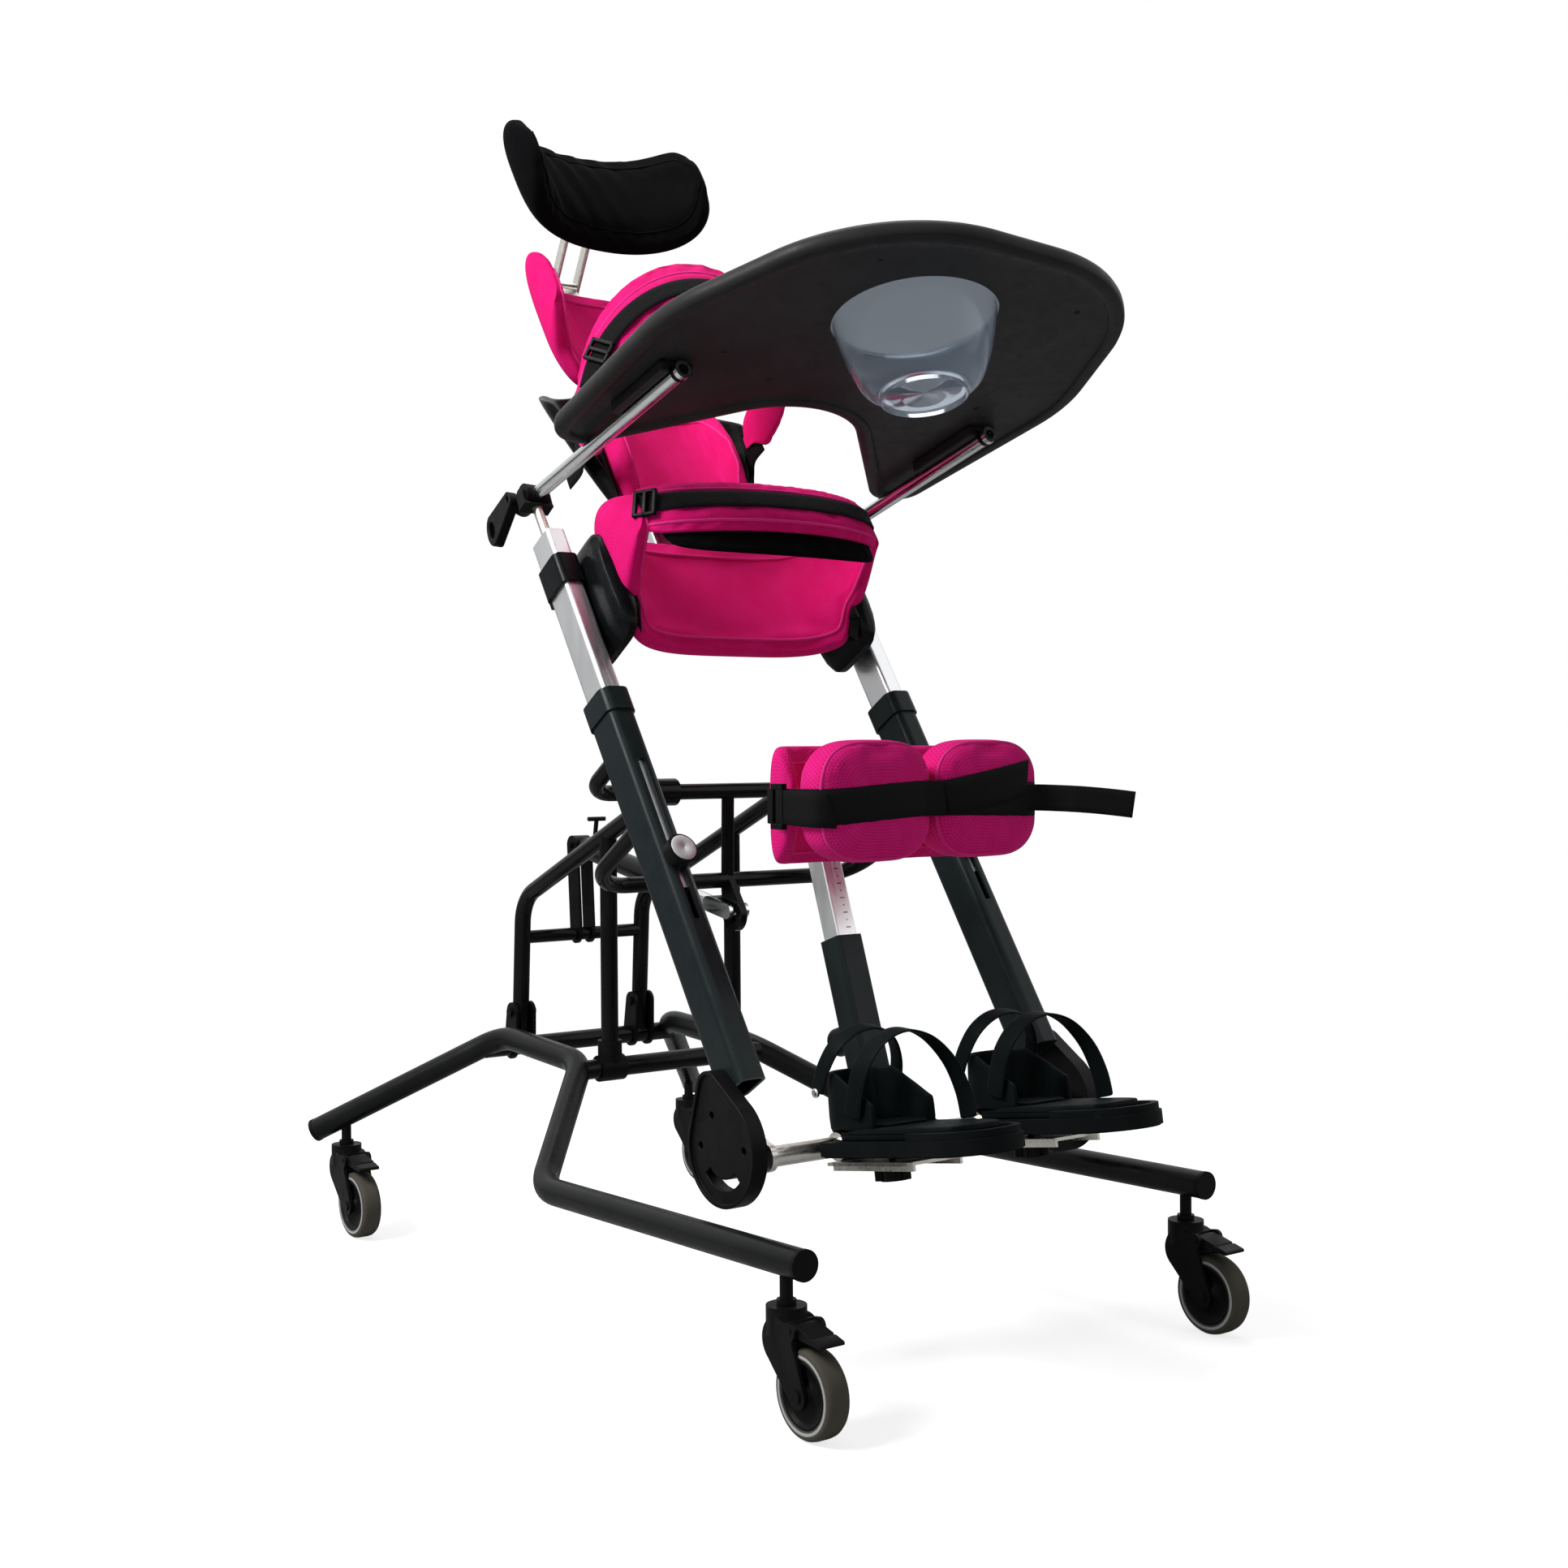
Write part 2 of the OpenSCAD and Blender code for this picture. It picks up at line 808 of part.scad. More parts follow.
module front_posts() color("black")
    for (left = [true, false]) difference() {
        x = side_of(left) * post_half;
        rod([x, front_post_y, front_cross_z], [x, front_post_y, mix(tower_bend, tower_top, front_post_y)[2]],
            tower_tube_d);
        tower_tube(left);
        front_cross_rod();
    }

module tower_brace() {
    gap = actuator_eye_w / 2 + seat_gap;
    color("black") {
        difference() {
            rod([-post_half, brace_y, brace_z], [post_half, brace_y, brace_z], brace_d);
            tower_tubes();
        }
        for (x = [-gap - ear_t, gap])
            side_plate(x, ear_t) tapered_link([brace_y, brace_z], brace_d / 2 + ear_t,
                [actuator_rear_y, actuator_rear_z], ear_r);
    }
    color("silver") cross_pin([-gap - ear_t - bolt_head_h, actuator_rear_y, actuator_rear_z], actuator_pin_d,
        2 * (gap + ear_t + bolt_head_h));
}

module end_cap(p, q) {
    d = unit(q - p);
    rod(q, q + d * cap_t, side_tube_d + cap_lip);
}

// Split saddle round the front cross tube, and its bolts
module saddle(x) {
    cut = cross_tube_d + 2 * saddle_wall;
    difference() {
        union() {
            cross_pin([x - saddle_w / 2, front_post_y, front_cross_z], cut, saddle_w);
            translate([x, front_post_y, front_cross_z]) cylinder(d = tower_tube_d + 2 * saddle_wall,
                h = saddle_w);
        }
        front_cross_rod();
        translate([x, front_post_y, front_cross_z]) cylinder(d = tower_tube_d, h = 2 * saddle_w);
    }
}

// Ear plates each side of a rear post, with a bolt through both
module post_ears(left) {
    x = side_of(left) * post_half;
    half = tower_tube_d / 2 + ear_t;
    bolt = [x - half - bolt_head_h, rear_post_y - ear_t, rear_cross_z + ear_h];
    difference() {
        union() {
            for (s = [-half, half - ear_t])
                side_plate(x + s, ear_t) tapered_link([rear_post_y, rear_cross_z], cross_tube_d / 2 + ear_t,
                    [bolt[1], bolt[2]], ear_r);
            cross_pin(bolt, bolt_head_d, bolt_head_h);
            cross_pin(bolt + [2 * half + bolt_head_h, 0, 0], bolt_head_d, bolt_head_h);
        }
        rear_cross_rod();
        tower_tube(left);
    }
}

module base_fittings() color("black")
    for (left = [true, false]) {
        path = left ? side_path : [for (p = side_path) flip(p)];
        end_cap(path[1], path[0]);
        end_cap(path[len(path) - 2], path[len(path) - 1]);
        saddle(side_of(left) * post_half);
        post_ears(left);
        for (y = [front_stem_y, rear_stem_y]) difference() {
            low = fork_top_z + swivel_h;
            translate([side_of(left) * track / 2, y, 0]) {
                translate([0, 0, low - stem_in]) cylinder(d = stem_d, h = rear_leg_z - low + stem_in);
                translate([0, 0, low + swivel_gap]) cylinder(d = stem_collar_d, h = stem_collar_h);
            }
            side_tube(left);
        }
    }

// Casters

function caster_at(front, left) = [side_of(left) * track / 2, front ? front_stem_y : rear_stem_y, 0];
fork_gap = wheel_w / 2 + fork_clear;
fork_half = fork_gap + cheek_t;
axle_at = [-caster_trail, wheel_d / 2];
crown_at = [-crown_ahead, fork_top_z - crown_r];
pedal_at = [-pedal_pin_ahead, pedal_pin_z];

module fork(front, left) {
    color("black") translate(caster_at(front, left)) {
        difference() {
            union() {
                side_plate(-fork_half, 2 * fork_half) {
                    tapered_link(axle_at, cheek_r, crown_at, crown_r);
                    tapered_link(crown_at, crown_r - cheek_t, pedal_at, pedal_ear_r);
                }
                translate([0, 0, fork_neck_z]) cylinder(d = swivel_d,
                    h = fork_top_z + swivel_h - fork_neck_z);
                for (x = [-fork_half - axle_head_h, fork_half])
                    cross_pin([x, axle_at[0], axle_at[1]], axle_head_d, axle_head_h);
            }
            cross_pin([-fork_gap, axle_at[0], axle_at[1]], wheel_d + 2 * fork_clear, 2 * fork_gap);
            side_plate(-fork_gap, 2 * fork_gap) translate(pedal_at - [pedal_room, pedal_room])
                square([pedal_room + pedal_hub_r + seat_gap, 2 * pedal_room + swivel_h]);
            translate([0, 0, fork_top_z + swivel_h - stem_in - seat_gap])
                cylinder(d = stem_d + 2 * run_clear, h = 2 * stem_in);
        }
        cross_pin([-fork_half + eps, axle_at[0], axle_at[1]], axle_d, 2 * fork_half - 2 * eps);
        cross_pin([-fork_half - eps, pedal_at[0], pedal_at[1]], pedal_pin_d, 2 * fork_half + 2 * eps);
    }
}

module wheel(front, left) {
    half = wheel_w / 2;
    tyre_r = wheel_d / 2;
    bore = axle_d / 2 + run_clear;
    translate(caster_at(front, left) + [0, axle_at[0], axle_at[1]]) rotate([0, 90, 0]) {
        color("dimgray") rotate_extrude() difference() {
            union() {
                translate([hub_r, -half + tyre_side]) square([tyre_r - hub_r, wheel_w - 2 * tyre_side]);
                translate([hub_r, -half]) square([tyre_r - hub_r - tyre_side, wheel_w]);
                for (z = [-1, 1]) translate([tyre_r - tyre_side,
                    z * (half - tyre_side)]) circle(r = tyre_side);
            }
            for (z = [-1, 1]) translate([ring_r - ring_t, z * half - ring_t / 2]) square([ring_t, ring_t]);
        }
        color("black") rotate_extrude() {
            translate([bore, -half]) square([hub_boss_r - bore, wheel_w]);
            translate([bore, -half + hub_dish]) square([hub_r - bore, wheel_w - 2 * hub_dish]);
            translate([hub_r - hub_rim, -half]) square([hub_rim, wheel_w]);
        }
    }
}

module pedal(front, left) {
    half = fork_gap - seat_gap;
    tip = pedal_at + [-pedal_len, -pedal_drop];
    color("black") translate(caster_at(front, left)) difference() {
        side_plate(-half, 2 * half) difference() {
            tapered_link(pedal_at, pedal_hub_r, tip, pedal_tip_r);
            translate(tip + pedal_groove_share * [pedal_len, pedal_drop] + [0, pedal_tip_r + pedal_groove])
                circle(r = pedal_groove);
        }
        cross_pin([-fork_half, pedal_at[0], pedal_at[1]], pedal_pin_d + 2 * run_clear, 2 * fork_half);
    }
}

// Tilting frame

module upright(left) {
    color("darkslategray") leaning() translate(lean_at(side_of(left) * upright_half, 0, 0)) difference() {
        union() {
            translate([0, 0, -upright_len]) linear_extrude(upright_len)
                round_rect(upright_width, upright_depth, upright_corner);
            translate([0, 0, -sleeve_h]) linear_extrude(sleeve_h)
                round_rect(upright_width + 2 * sleeve_wall, upright_depth + 2 * sleeve_wall,
                    upright_corner + sleeve_wall);
        }
        translate([0, 0, -upright_len - eps]) linear_extrude(upright_len + 2 * eps)
            round_rect(inner_cavity_w, inner_cavity_d, upright_corner - upright_wall);
        box([-knob_slot_w / 2, -upright_depth, -knob_slot_top - knob_slot_len],
            [knob_slot_w / 2, 0, -knob_slot_top]);
    }
}

module pivot_bar() {
    color("black") leaning() bent_rod([[-arm_half, upright_rear, 0], [-arm_half, 0, 0], [arm_half, 0, 0],
        [arm_half, upright_rear, 0]], pivot_arm_r, pivot_bar_d);
}

lug_pin = [0, lower_bar_back + lug_back, -lower_bar_down - lug_drop];

module lower_bar() {
    lug = [lug_pin[1] + lug_slot_back, lug_pin[2] - lug_slot_down];
    color("black") leaning() {
        bent_rod([[-arm_half, upright_rear, -lower_bar_down], [-arm_half, lower_bar_back, -lower_bar_down],
            [arm_half, lower_bar_back, -lower_bar_down], [arm_half, upright_rear, -lower_bar_down]],
            lower_arm_r, lower_bar_d);
        difference() {
            rod([0, 0, 0], [0, lower_bar_back, -lower_bar_down], link_d);
            cross_pin([-link_d, 0, 0], pivot_bar_d, 2 * link_d);
        }
        side_plate(-lug_t / 2, lug_t) difference() {
            tapered_link([lower_bar_back, -lower_bar_down], lower_bar_d / 2 - eps, lug, lug_r);
            translate(lug) round_rect(lug_slot_w, lug_slot_h, lug_slot_r);
        }
    }
}

module side_bracket(left) {
    big = [foot_pin_lean[1], foot_pin_lean[2]];
    small = [-upright_ahead + bracket_small_back, rim_up - upright_len + bracket_up];
    color("black") leaning() mirror([left ? 0 : 1, 0, 0]) {
        difference() {
            side_plate(upright_face, bracket_t) tapered_link(big, bracket_big_r, small, bracket_small_r);
            side_plate(upright_face + bracket_t - bracket_pan, bracket_t)
                tapered_link(big, bracket_big_r - bracket_rim, small, bracket_small_r - bracket_rim);
            translate([upright_face - eps, big[0], big[1]]) rotate([0, 90, 0]) rotate([0, 0, lean]) {
                for (a = bracket_hole_angles) rotate([0, 0, a])
                    translate([bracket_big_r * bracket_hole_r_share, 0, 0])
                        cylinder(d = bracket_hole_d, h = bracket_t + 2 * eps);
                rotate([0, 0, -smile_angle / 2]) rotate_extrude(angle = smile_angle)
                    translate([bracket_big_r * smile_r_share, 0]) square([smile_w, bracket_t + 2 * eps]);
            }
        }
        cross_pin([upright_face - foot_pin_reach, big[0], big[1]], foot_pin_d, foot_pin_reach + bracket_pan);
    }
}

// Actuator, with its axis from the rear pin to the lug on the lower bar

actuator_front = lean_to_world(lug_pin);
actuator_rear = [0, actuator_rear_y, actuator_rear_z];
actuator_span = norm(actuator_front - actuator_rear);
actuator_tilt = atan2(actuator_rear[2] - actuator_front[2], actuator_rear[1] - actuator_front[1]);

// Origin on the rear pin, -Y to the front pin
module actuating() {
    translate(actuator_rear) rotate([actuator_tilt, 0, 0]) children();
}

// Cylinder along -Y from y0 behind the origin
module push_rod(y0, h, d) {
    translate([0, -y0, 0]) rotate([90, 0, 0]) cylinder(d = d, h = h);
}

module actuator_body() {
    top = actuator_d / 2 + release_h;
    color("dimgray") actuating() difference() {
        union() {
            push_rod(actuator_start, actuator_len, actuator_d);
            cross_pin([-actuator_eye_w / 2, 0, 0], 2 * actuator_eye_r, actuator_eye_w);
            box([-actuator_eye_w / 2, -actuator_start - eps, -actuator_neck_d / 2],
                [actuator_eye_w / 2, 0, actuator_neck_d / 2]);
            translate([0, -release_at, 0]) cylinder(d = release_d, h = top);
            cross_pin([-release_bar / 2, -release_at, top], release_d, release_bar);
        }
        cross_pin([-actuator_eye_w, 0, 0], actuator_pin_d + 2 * run_clear, 2 * actuator_eye_w);
        push_rod(actuator_start + actuator_bore_in, actuator_len, actuator_rod_d + 2 * run_clear);
    }
}

module actuator_rod() {
    color("silver") actuating() {
        push_rod(actuator_rod_in, actuator_span - actuator_rod_in - clevis_slot - eps, actuator_rod_d);
        translate([0, -actuator_span, 0]) difference() {
            side_plate(-clevis_w / 2, clevis_w) tapered_link([0, 0], clevis_r, [clevis_len - clevis_r,
                0], clevis_r);
            box([-clevis_w / 2 + clevis_t, -clevis_len, -clevis_w], [clevis_w / 2 - clevis_t,
                clevis_slot, clevis_w]);
        }
        cross_pin([-clevis_w / 2, -actuator_span, 0], actuator_pin_d, clevis_w);
    }
}

// Telescoping upper frame

knob_front = upright_depth / 2 + knob_clear;

module inner_tubes() color("silver")
    for (left = [true, false]) leaning() translate(lean_at(side_of(left) * upright_half, 0, 0)) {
        low = -knob_drop - inner_tail;
        start = inner_d / 2 - inner_wall / 2;
        difference() {
            translate([0, 0, low]) linear_extrude(inner_out - low) round_rect(inner_w, inner_d, inner_corner);
            translate([0, 0, low - eps]) linear_extrude(inner_out - inner_plug_h - low + eps)
                round_rect(inner_w - 2 * inner_wall, inner_d - 2 * inner_wall, inner_corner - inner_wall);
            translate([0, 0, inner_out - 2 * inner_plug_h])
                cylinder(d = tray_stem_d + 2 * run_clear, h = 3 * inner_plug_h);
        }
        translate([0, 0, -knob_drop]) push_rod(start, knob_front + knob_bore_in - start, knob_shaft_d);
    }

module height_knob(left) {
    leaning() translate(lean_at(side_of(left) * upright_half, 0, -knob_drop)) {
        color("black") difference() {
            push_rod(knob_front, knob_t, knob_d);
            push_rod(knob_front - eps, knob_bore_in + seat_gap + eps, knob_shaft_d + 2 * run_clear);
        }
        color("silver") push_rod(knob_front + knob_t, knob_face_t, knob_face_d);
    }
}

// Distance of a support shell's middle behind the middle of its pad
shell_off = (pad_t + shell_t) / 2 + shell_gap;

module pelvic_shell() {
    pod_x = upright_half - inner_w / 2 - band_wall + pod_bite - pod_t / 2;
    color("black") leaning() {
        translate(lean_at(0, pelvic_back - shell_off, pelvic_z))
            u_shell(pelvic_half + shell_off, pelvic_reach + shell_off, shell_t, pelvic_h + shell_margin,
                pelvic_cover_share);
        box(lean_at(-spacer_w / 2, pelvic_back - shell_off, pelvic_z - spacer_h / 2),
            lean_at(spacer_w / 2, -spine_back + spine_d / 2, pelvic_z + spacer_h / 2));
        for (s = [-1, 1]) {
            run = [for (t = stations) lean_at(s * pod_x,
                (pod_front - pod_rear) / 2 + t * (pod_front + pod_rear) / 2,
                pod_z)];
            soft_band(run, [for (t = stations) pod_t / 2 * taper(t, pad_end_share)],
                [for (t = stations) pod_h / 2 * taper(t, pad_end_share)], soft_section(round_share));
            translate(lean_at(s * upright_half, 0, band_z)) difference() {
                union() {
                    translate([0, 0, -band_h / 2]) linear_extrude(band_h)
                        round_rect(inner_w + 2 * band_wall, inner_d + 2 * band_wall,
                            inner_corner + band_wall);
                    box([-band_wall, inner_d / 2, -band_h / 2], [band_wall, inner_d / 2 + band_ear,
                        band_h / 2]);
                }
                translate([0, 0, -band_h]) linear_extrude(2 * band_h) round_rect(inner_w, inner_d,
                    inner_corner);
            }
        }
    }
}

module pelvic_pad() {
    color("deeppink") leaning() translate(lean_at(0, pelvic_back, pelvic_z))
        u_pad(pelvic_half, pelvic_reach, pad_t, pelvic_h, pelvic_dip_share, pad_end_share);
}

module pelvic_belt() {
    leaning() translate(lean_at(0, pelvic_back + pelvic_reach, pelvic_belt_z))
        belt(wing_out(pelvic_half, pad_t, belt_sew_share, pad_end_share) + belt_t / 2
            + belt_gap - pelvic_belt_sink,
            pelvic_belt_reach, pelvic_belt_tail, pelvic_belt_rise, pelvic_belt_h);
}

module spine() {
    color("silver") leaning() translate(lean_at(0, -spine_back, spine_low)) difference() {
        linear_extrude(spine_high - spine_low) round_rect(spine_w, spine_d, spine_corner);
        translate([0, 0, -eps]) linear_extrude(spine_high - spine_low + 2 * eps)
            round_rect(spine_w - 2 * spine_wall, spine_d - 2 * spine_wall, spine_corner - spine_wall);
    }
}

// Chest support

module chest_shell() {
    w = spine_w + 2 * slide_clear;
    d = spine_d + 2 * slide_clear;
    plate_n = chest_back - pad_t / 2 - seat_gap;
    color("black") leaning() {
        translate(lean_at(0, chest_back - shell_off, chest_z))
            u_shell(chest_half + shell_off, chest_reach + shell_off, shell_t, chest_h + shell_margin,
                chest_cover_share);
        difference() {
            union() {
                translate(lean_at(0, -spine_back, chest_z - carriage_h / 2)) linear_extrude(carriage_h)
                    round_rect(w + 2 * carriage_wall, d + 2 * carriage_wall, carriage_wall);
                box(lean_at(-w / 2, chest_back - shell_off, chest_z - carriage_h / 2),
                    lean_at(w / 2, -spine_back, chest_z + carriage_h / 2));
            }
            translate(lean_at(0, -spine_back, chest_z - carriage_h)) linear_extrude(2 * carriage_h)
                round_rect(w, d, spine_corner);
        }
        box(lean_at(-back_plate_w / 2, plate_n, chest_z), lean_at(back_plate_w / 2, plate_n - back_plate_t,
            back_plate_top));
    }
}

module chest_pad() {
    color("deeppink") leaning() translate(lean_at(0, chest_back, chest_z))
        u_pad(chest_half, chest_reach, pad_t, chest_h, chest_dip_share, pad_end_share);
}

module upper_back_pad() {
    color("deeppink") leaning() translate(lean_at(0, chest_back, upper_pad_z))
        u_pad(upper_pad_half, upper_pad_reach, pad_t, upper_pad_h, 0, upper_end_share);
}

module chest_belt() {
    leaning() translate(lean_at(0, chest_back + chest_reach, chest_belt_z))
        belt(wing_out(chest_half, pad_t, belt_sew_share, pad_end_share) + belt_t / 2 + belt_gap,
            chest_belt_reach, chest_belt_tail, chest_belt_rise, chest_belt_h);
}

// Headrest

head_stem_w = spine_w - 2 * spine_wall - 2 * slide_clear;

module headrest_stem() {
    d = spine_d - 2 * spine_wall - 2 * slide_clear;
    half = head_stem_w / 2 + seat_gap + head_ear_t;
    color("silver") leaning() {
        translate(lean_at(0, -spine_back, head_stem_low))
            linear_extrude(head_hinge_z - head_stem_low) round_rect(head_stem_w, d,
                spine_corner - spine_wall);
        cross_pin(lean_at(-head_stem_w / 2, -spine_back, head_hinge_z), head_knuckle_d, head_stem_w);
        cross_pin(lean_at(-half, -spine_back, head_hinge_z), head_pin_d, 2 * half);
    }
}

module headrest_pad() {
    plate_n = head_back - head_t / 2 - seat_gap;
    hinge = lean_at(0, -spine_back, head_hinge_z);
    hold = lean_at(0, plate_n - head_ear_r, head_z);
    inner = head_stem_w / 2 + seat_gap;
    color("black") leaning() {
        translate(lean_at(0, head_back, head_z))
            u_pad(head_half, head_reach, head_t, head_h, head_dip_share, head_end_share, head_square_share);
        box(lean_at(-head_plate_w / 2, plate_n, head_z - head_plate_h / 2),
            lean_at(head_plate_w / 2, plate_n - head_plate_t, head_z + head_plate_h / 2));
        for (x = [-inner - head_ear_t, inner]) difference() {
            side_plate(x, head_ear_t) tapered_link([hinge[1], hinge[2]], head_ear_r, [hold[1], hold[2]],
                head_ear_r);
            cross_pin([x - eps, hinge[1], hinge[2]], head_pin_d + 2 * run_clear, head_ear_t + 2 * eps);
        }
    }
}

// Tray

yoke_in = clamp_w / 2 + seat_gap;
yoke_low = clamp_d / 2 + seat_gap + yoke_base_t;

module tray_stems() {
    for (left = [true, false]) {
        top = left ? clamp_z_left : clamp_z_right;
        color("silver") leaning() translate(lean_at(side_of(left) * upright_half, 0,
            inner_out - tray_stem_in))
            cylinder(d = tray_stem_d, h = top - inner_out + tray_stem_in - yoke_low + yoke_base_t / 2);
        color("black") rolled() translate([side_of(left) * clamp_half, 0, 0]) {
            box([-yoke_in - yoke_t, -yoke_depth / 2, -yoke_low],
                [yoke_in + yoke_t, yoke_depth / 2, -yoke_low + yoke_base_t]);
            for (x = [-yoke_in - yoke_t, yoke_in])
                side_plate(x, yoke_t) {
                    circle(r = yoke_ear_r);
                    translate([-yoke_ear_r, -yoke_low]) square([2 * yoke_ear_r, yoke_low]);
                }
            for (x = [-yoke_in - eps, yoke_in - trunnion_in])
                cross_pin([x, 0, 0], trunnion_d, trunnion_in + eps);
        }
    }
}

module clamp_side(left) {
    tray_frame() translate([side_of(left) * clamp_half, 0, 0]) mirror([left ? 0 : 1, 0, 0]) children();
}

module tray_clamps() color("black")
    for (left = [true, false]) clamp_side(left) {
        difference() {
            union() {
                cross_pin([-clamp_w / 2, 0, 0], clamp_d, clamp_w);
                push_rod(-collar_back, collar_back, collar_d);
            }
            push_rod(-2 * collar_back, 3 * collar_back, rod_d + 2 * run_clear);
            for (x = [-clamp_w / 2 - eps, clamp_w / 2 - trunnion_in])
                cross_pin([x, 0, 0], trunnion_d + 2 * run_clear, trunnion_in + eps);
        }
        cross_pin([collar_d / 2 - eps, lever_back, 0], lever_pin_d, lever_t + 2 * eps + seat_gap);
    }

module clamp_lever(left) {
    end = [lever_len * cos(lever_droop), -lever_len * sin(lever_droop)];
    color("black") clamp_side(left) translate([collar_d / 2 + seat_gap, lever_back, 0]) difference() {
        side_plate(0, lever_t) tapered_link([0, 0], lever_hub_r, end, lever_loop_r);
        cross_pin([-eps, 0, 0], lever_pin_d + 2 * run_clear, lever_t + 2 * eps);
        cross_pin([-eps, end[0], end[1]], 2 * lever_loop_hole_r, lever_t + 2 * eps);
    }
}

module tray_rods() {
    for (s = [-1, 1]) tray_frame() translate([s * clamp_half, 0, 0]) {
        color("silver") push_rod(-rod_tail, rod_tail + rod_front, rod_d);
        color("black") push_rod(rod_front, rod_plug_t, rod_plug_d);
    }
}

// Outline of the tray, drawn in by an inset: round corners joined by tangents, with a body cut-out
module tray_outline(inset) {
    corner = [tray_half - tray_corner_in - tray_corner_r, -tray_front + tray_corner_r];
    waist = [tray_half - tray_waist_r, -tray_waist_y];
    tip = [tray_tip_x, -tray_tip_y - tray_tip_r];
    cut = [0, -tray_cut_y + tray_cut_r];
    corner_r = tray_corner_r - inset;
    waist_r = tray_waist_r - inset;
    tip_r = tray_tip_r - inset;
    cut_r = tray_cut_r + inset;
    turn = atan2(tip[1] - cut[1], tip[0] - cut[0]);
    swing = acos((cut_r + tip_r) / norm(tip - cut));
    on_cut = cut + link_share * cut_r * [cos(turn - swing), sin(turn - swing)];
    on_tip = tip - link_share * tip_r * [cos(turn - swing), sin(turn - swing)];
    difference() {
        union() for (s = [0, 1]) mirror([s, 0]) {
            tapered_link(corner, corner_r, waist, waist_r);
            tapered_link(waist, waist_r, tip, tip_r);
            polygon([[0, corner[1] - corner_r], [corner[0], corner[1] - corner_r], waist, tip, [0, tip[1]]]);
        }
        for (s = [0, 1]) mirror([s, 0])
            polygon([cut, on_cut, on_tip, [on_tip[0], 0], [0, 0]]);
        translate(cut) circle(r = cut_r);
    }
    for (s = [-1, 1]) translate([s * tip[0], tip[1]]) circle(r = tip_r);
}

module tray() {
    low = rod_d / 2 + tray_lift;
    floor_z = low + tray_recess;
    color("black") tray_frame() difference() {
        union() {
            translate([0, 0, floor_z]) linear_extrude(tray_panel_t) tray_outline(tray_rim_w / 2);
            difference() {
                translate([0, 0, low]) linear_extrude(tray_rim_h) tray_outline(0);
                translate([0, 0, low - eps]) linear_extrude(tray_rim_h + 2 * eps) tray_outline(tray_rim_w);
            }
            for (s = [-1, 1])
                box([s * clamp_half - tray_hanger_w / 2, -tray_hanger_start - tray_hanger_len, 0],
                    [s * clamp_half + tray_hanger_w / 2, -tray_hanger_start, floor_z + tray_panel_t / 2]);
        }
        for (s = [-1, 1]) translate([s * clamp_half, 0, 0]) push_rod(0, rod_front, rod_d);
        translate([bowl_x, -bowl_y, low]) cylinder(d = bowl_d - 2 * bowl_lip + 2 * bowl_gap, h = tray_rim_h);
    }
}

module bowl() {
    top = rod_d / 2 + tray_lift + tray_recess + tray_panel_t + seat_gap;
    rim = bowl_d / 2 - bowl_lip;
    foot = bowl_foot_d / 2;
    function side(t) = [[0, -bowl_depth + t], [foot - t, -bowl_depth + t], [rim * bowl_side_share - t,
        -bowl_depth / 2],
        [rim - t, 0]];
    color("whitesmoke") tray_frame() translate([bowl_x, -bowl_y, top]) rotate_extrude() difference() {
        union() {
            polygon(concat(side(0), [[0, 0]]));
            square([rim + bowl_lip, bowl_wall]);
            translate([0, -bowl_depth - bowl_foot_h]) square([foot, 2 * bowl_foot_h]);
        }
        polygon(concat(side(bowl_wall), [[rim - bowl_wall, bowl_depth], [0, bowl_depth]]));
        translate([0, -bowl_depth - 2 * bowl_foot_h]) square([foot - bowl_wall, 2 * bowl_foot_h]);
    }
}

// Foot support

ring_r_out = foot_bar_d / 2 + carrier_wall;
swing_face = upright_face - foot_pin_reach + bar_clear;

module swing_plate(left) {
    pin = [foot_pin_lean[1], foot_pin_lean[2]];
    bar = [foot_bar_lean[1], foot_bar_lean[2]];
    leaning() mirror([left ? 0 : 1, 0, 0]) difference() {
        side_plate(swing_face, swing_t) tapered_link(pin, swing_r, bar, ring_r_out);
        cross_pin([swing_face - eps, pin[0], pin[1]], foot_pin_d + 2 * run_clear, swing_t + 2 * eps);
    }
}

module carrier(s) {
    top = plate_top - plate_h - seat_gap;
    translate([s * foot_half, 0, 0]) difference() {
        union() {
            cross_pin([-carrier_ring_w / 2, 0, 0], 2 * ring_r_out, carrier_ring_w);
            box([-carrier_w / 2, -carrier_len, top - carrier_t], [carrier_w / 2, 0, top]);
        }
        box([-foot_slot_w / 2, -stud_y - foot_travel - foot_slot_w / 2, top - 2 * carrier_t],
            [foot_slot_w / 2, -stud_y + foot_slot_w / 2, top + eps]);
    }
}

module foot_bar() {
    color("silver") {
        footing() {
            cross_pin([-swing_face - swing_t, 0, 0], foot_bar_d, 2 * (swing_face + swing_t));
            for (s = [-1, 1]) carrier(s);
        }
        swing_plate(true);
        swing_plate(false);
    }
}

plate_back = ring_r_out + bar_clear;

// D-shaped outline of a footplate, drawn in by an inset
module plate_outline(inset) {
    r = foot_w / 2;
    round_y = -foot_len - plate_back + r;
    translate([-r + inset, round_y]) square([foot_w - 2 * inset, -plate_back - inset - round_y]);
    translate([0, round_y]) circle(r = r - inset);
}

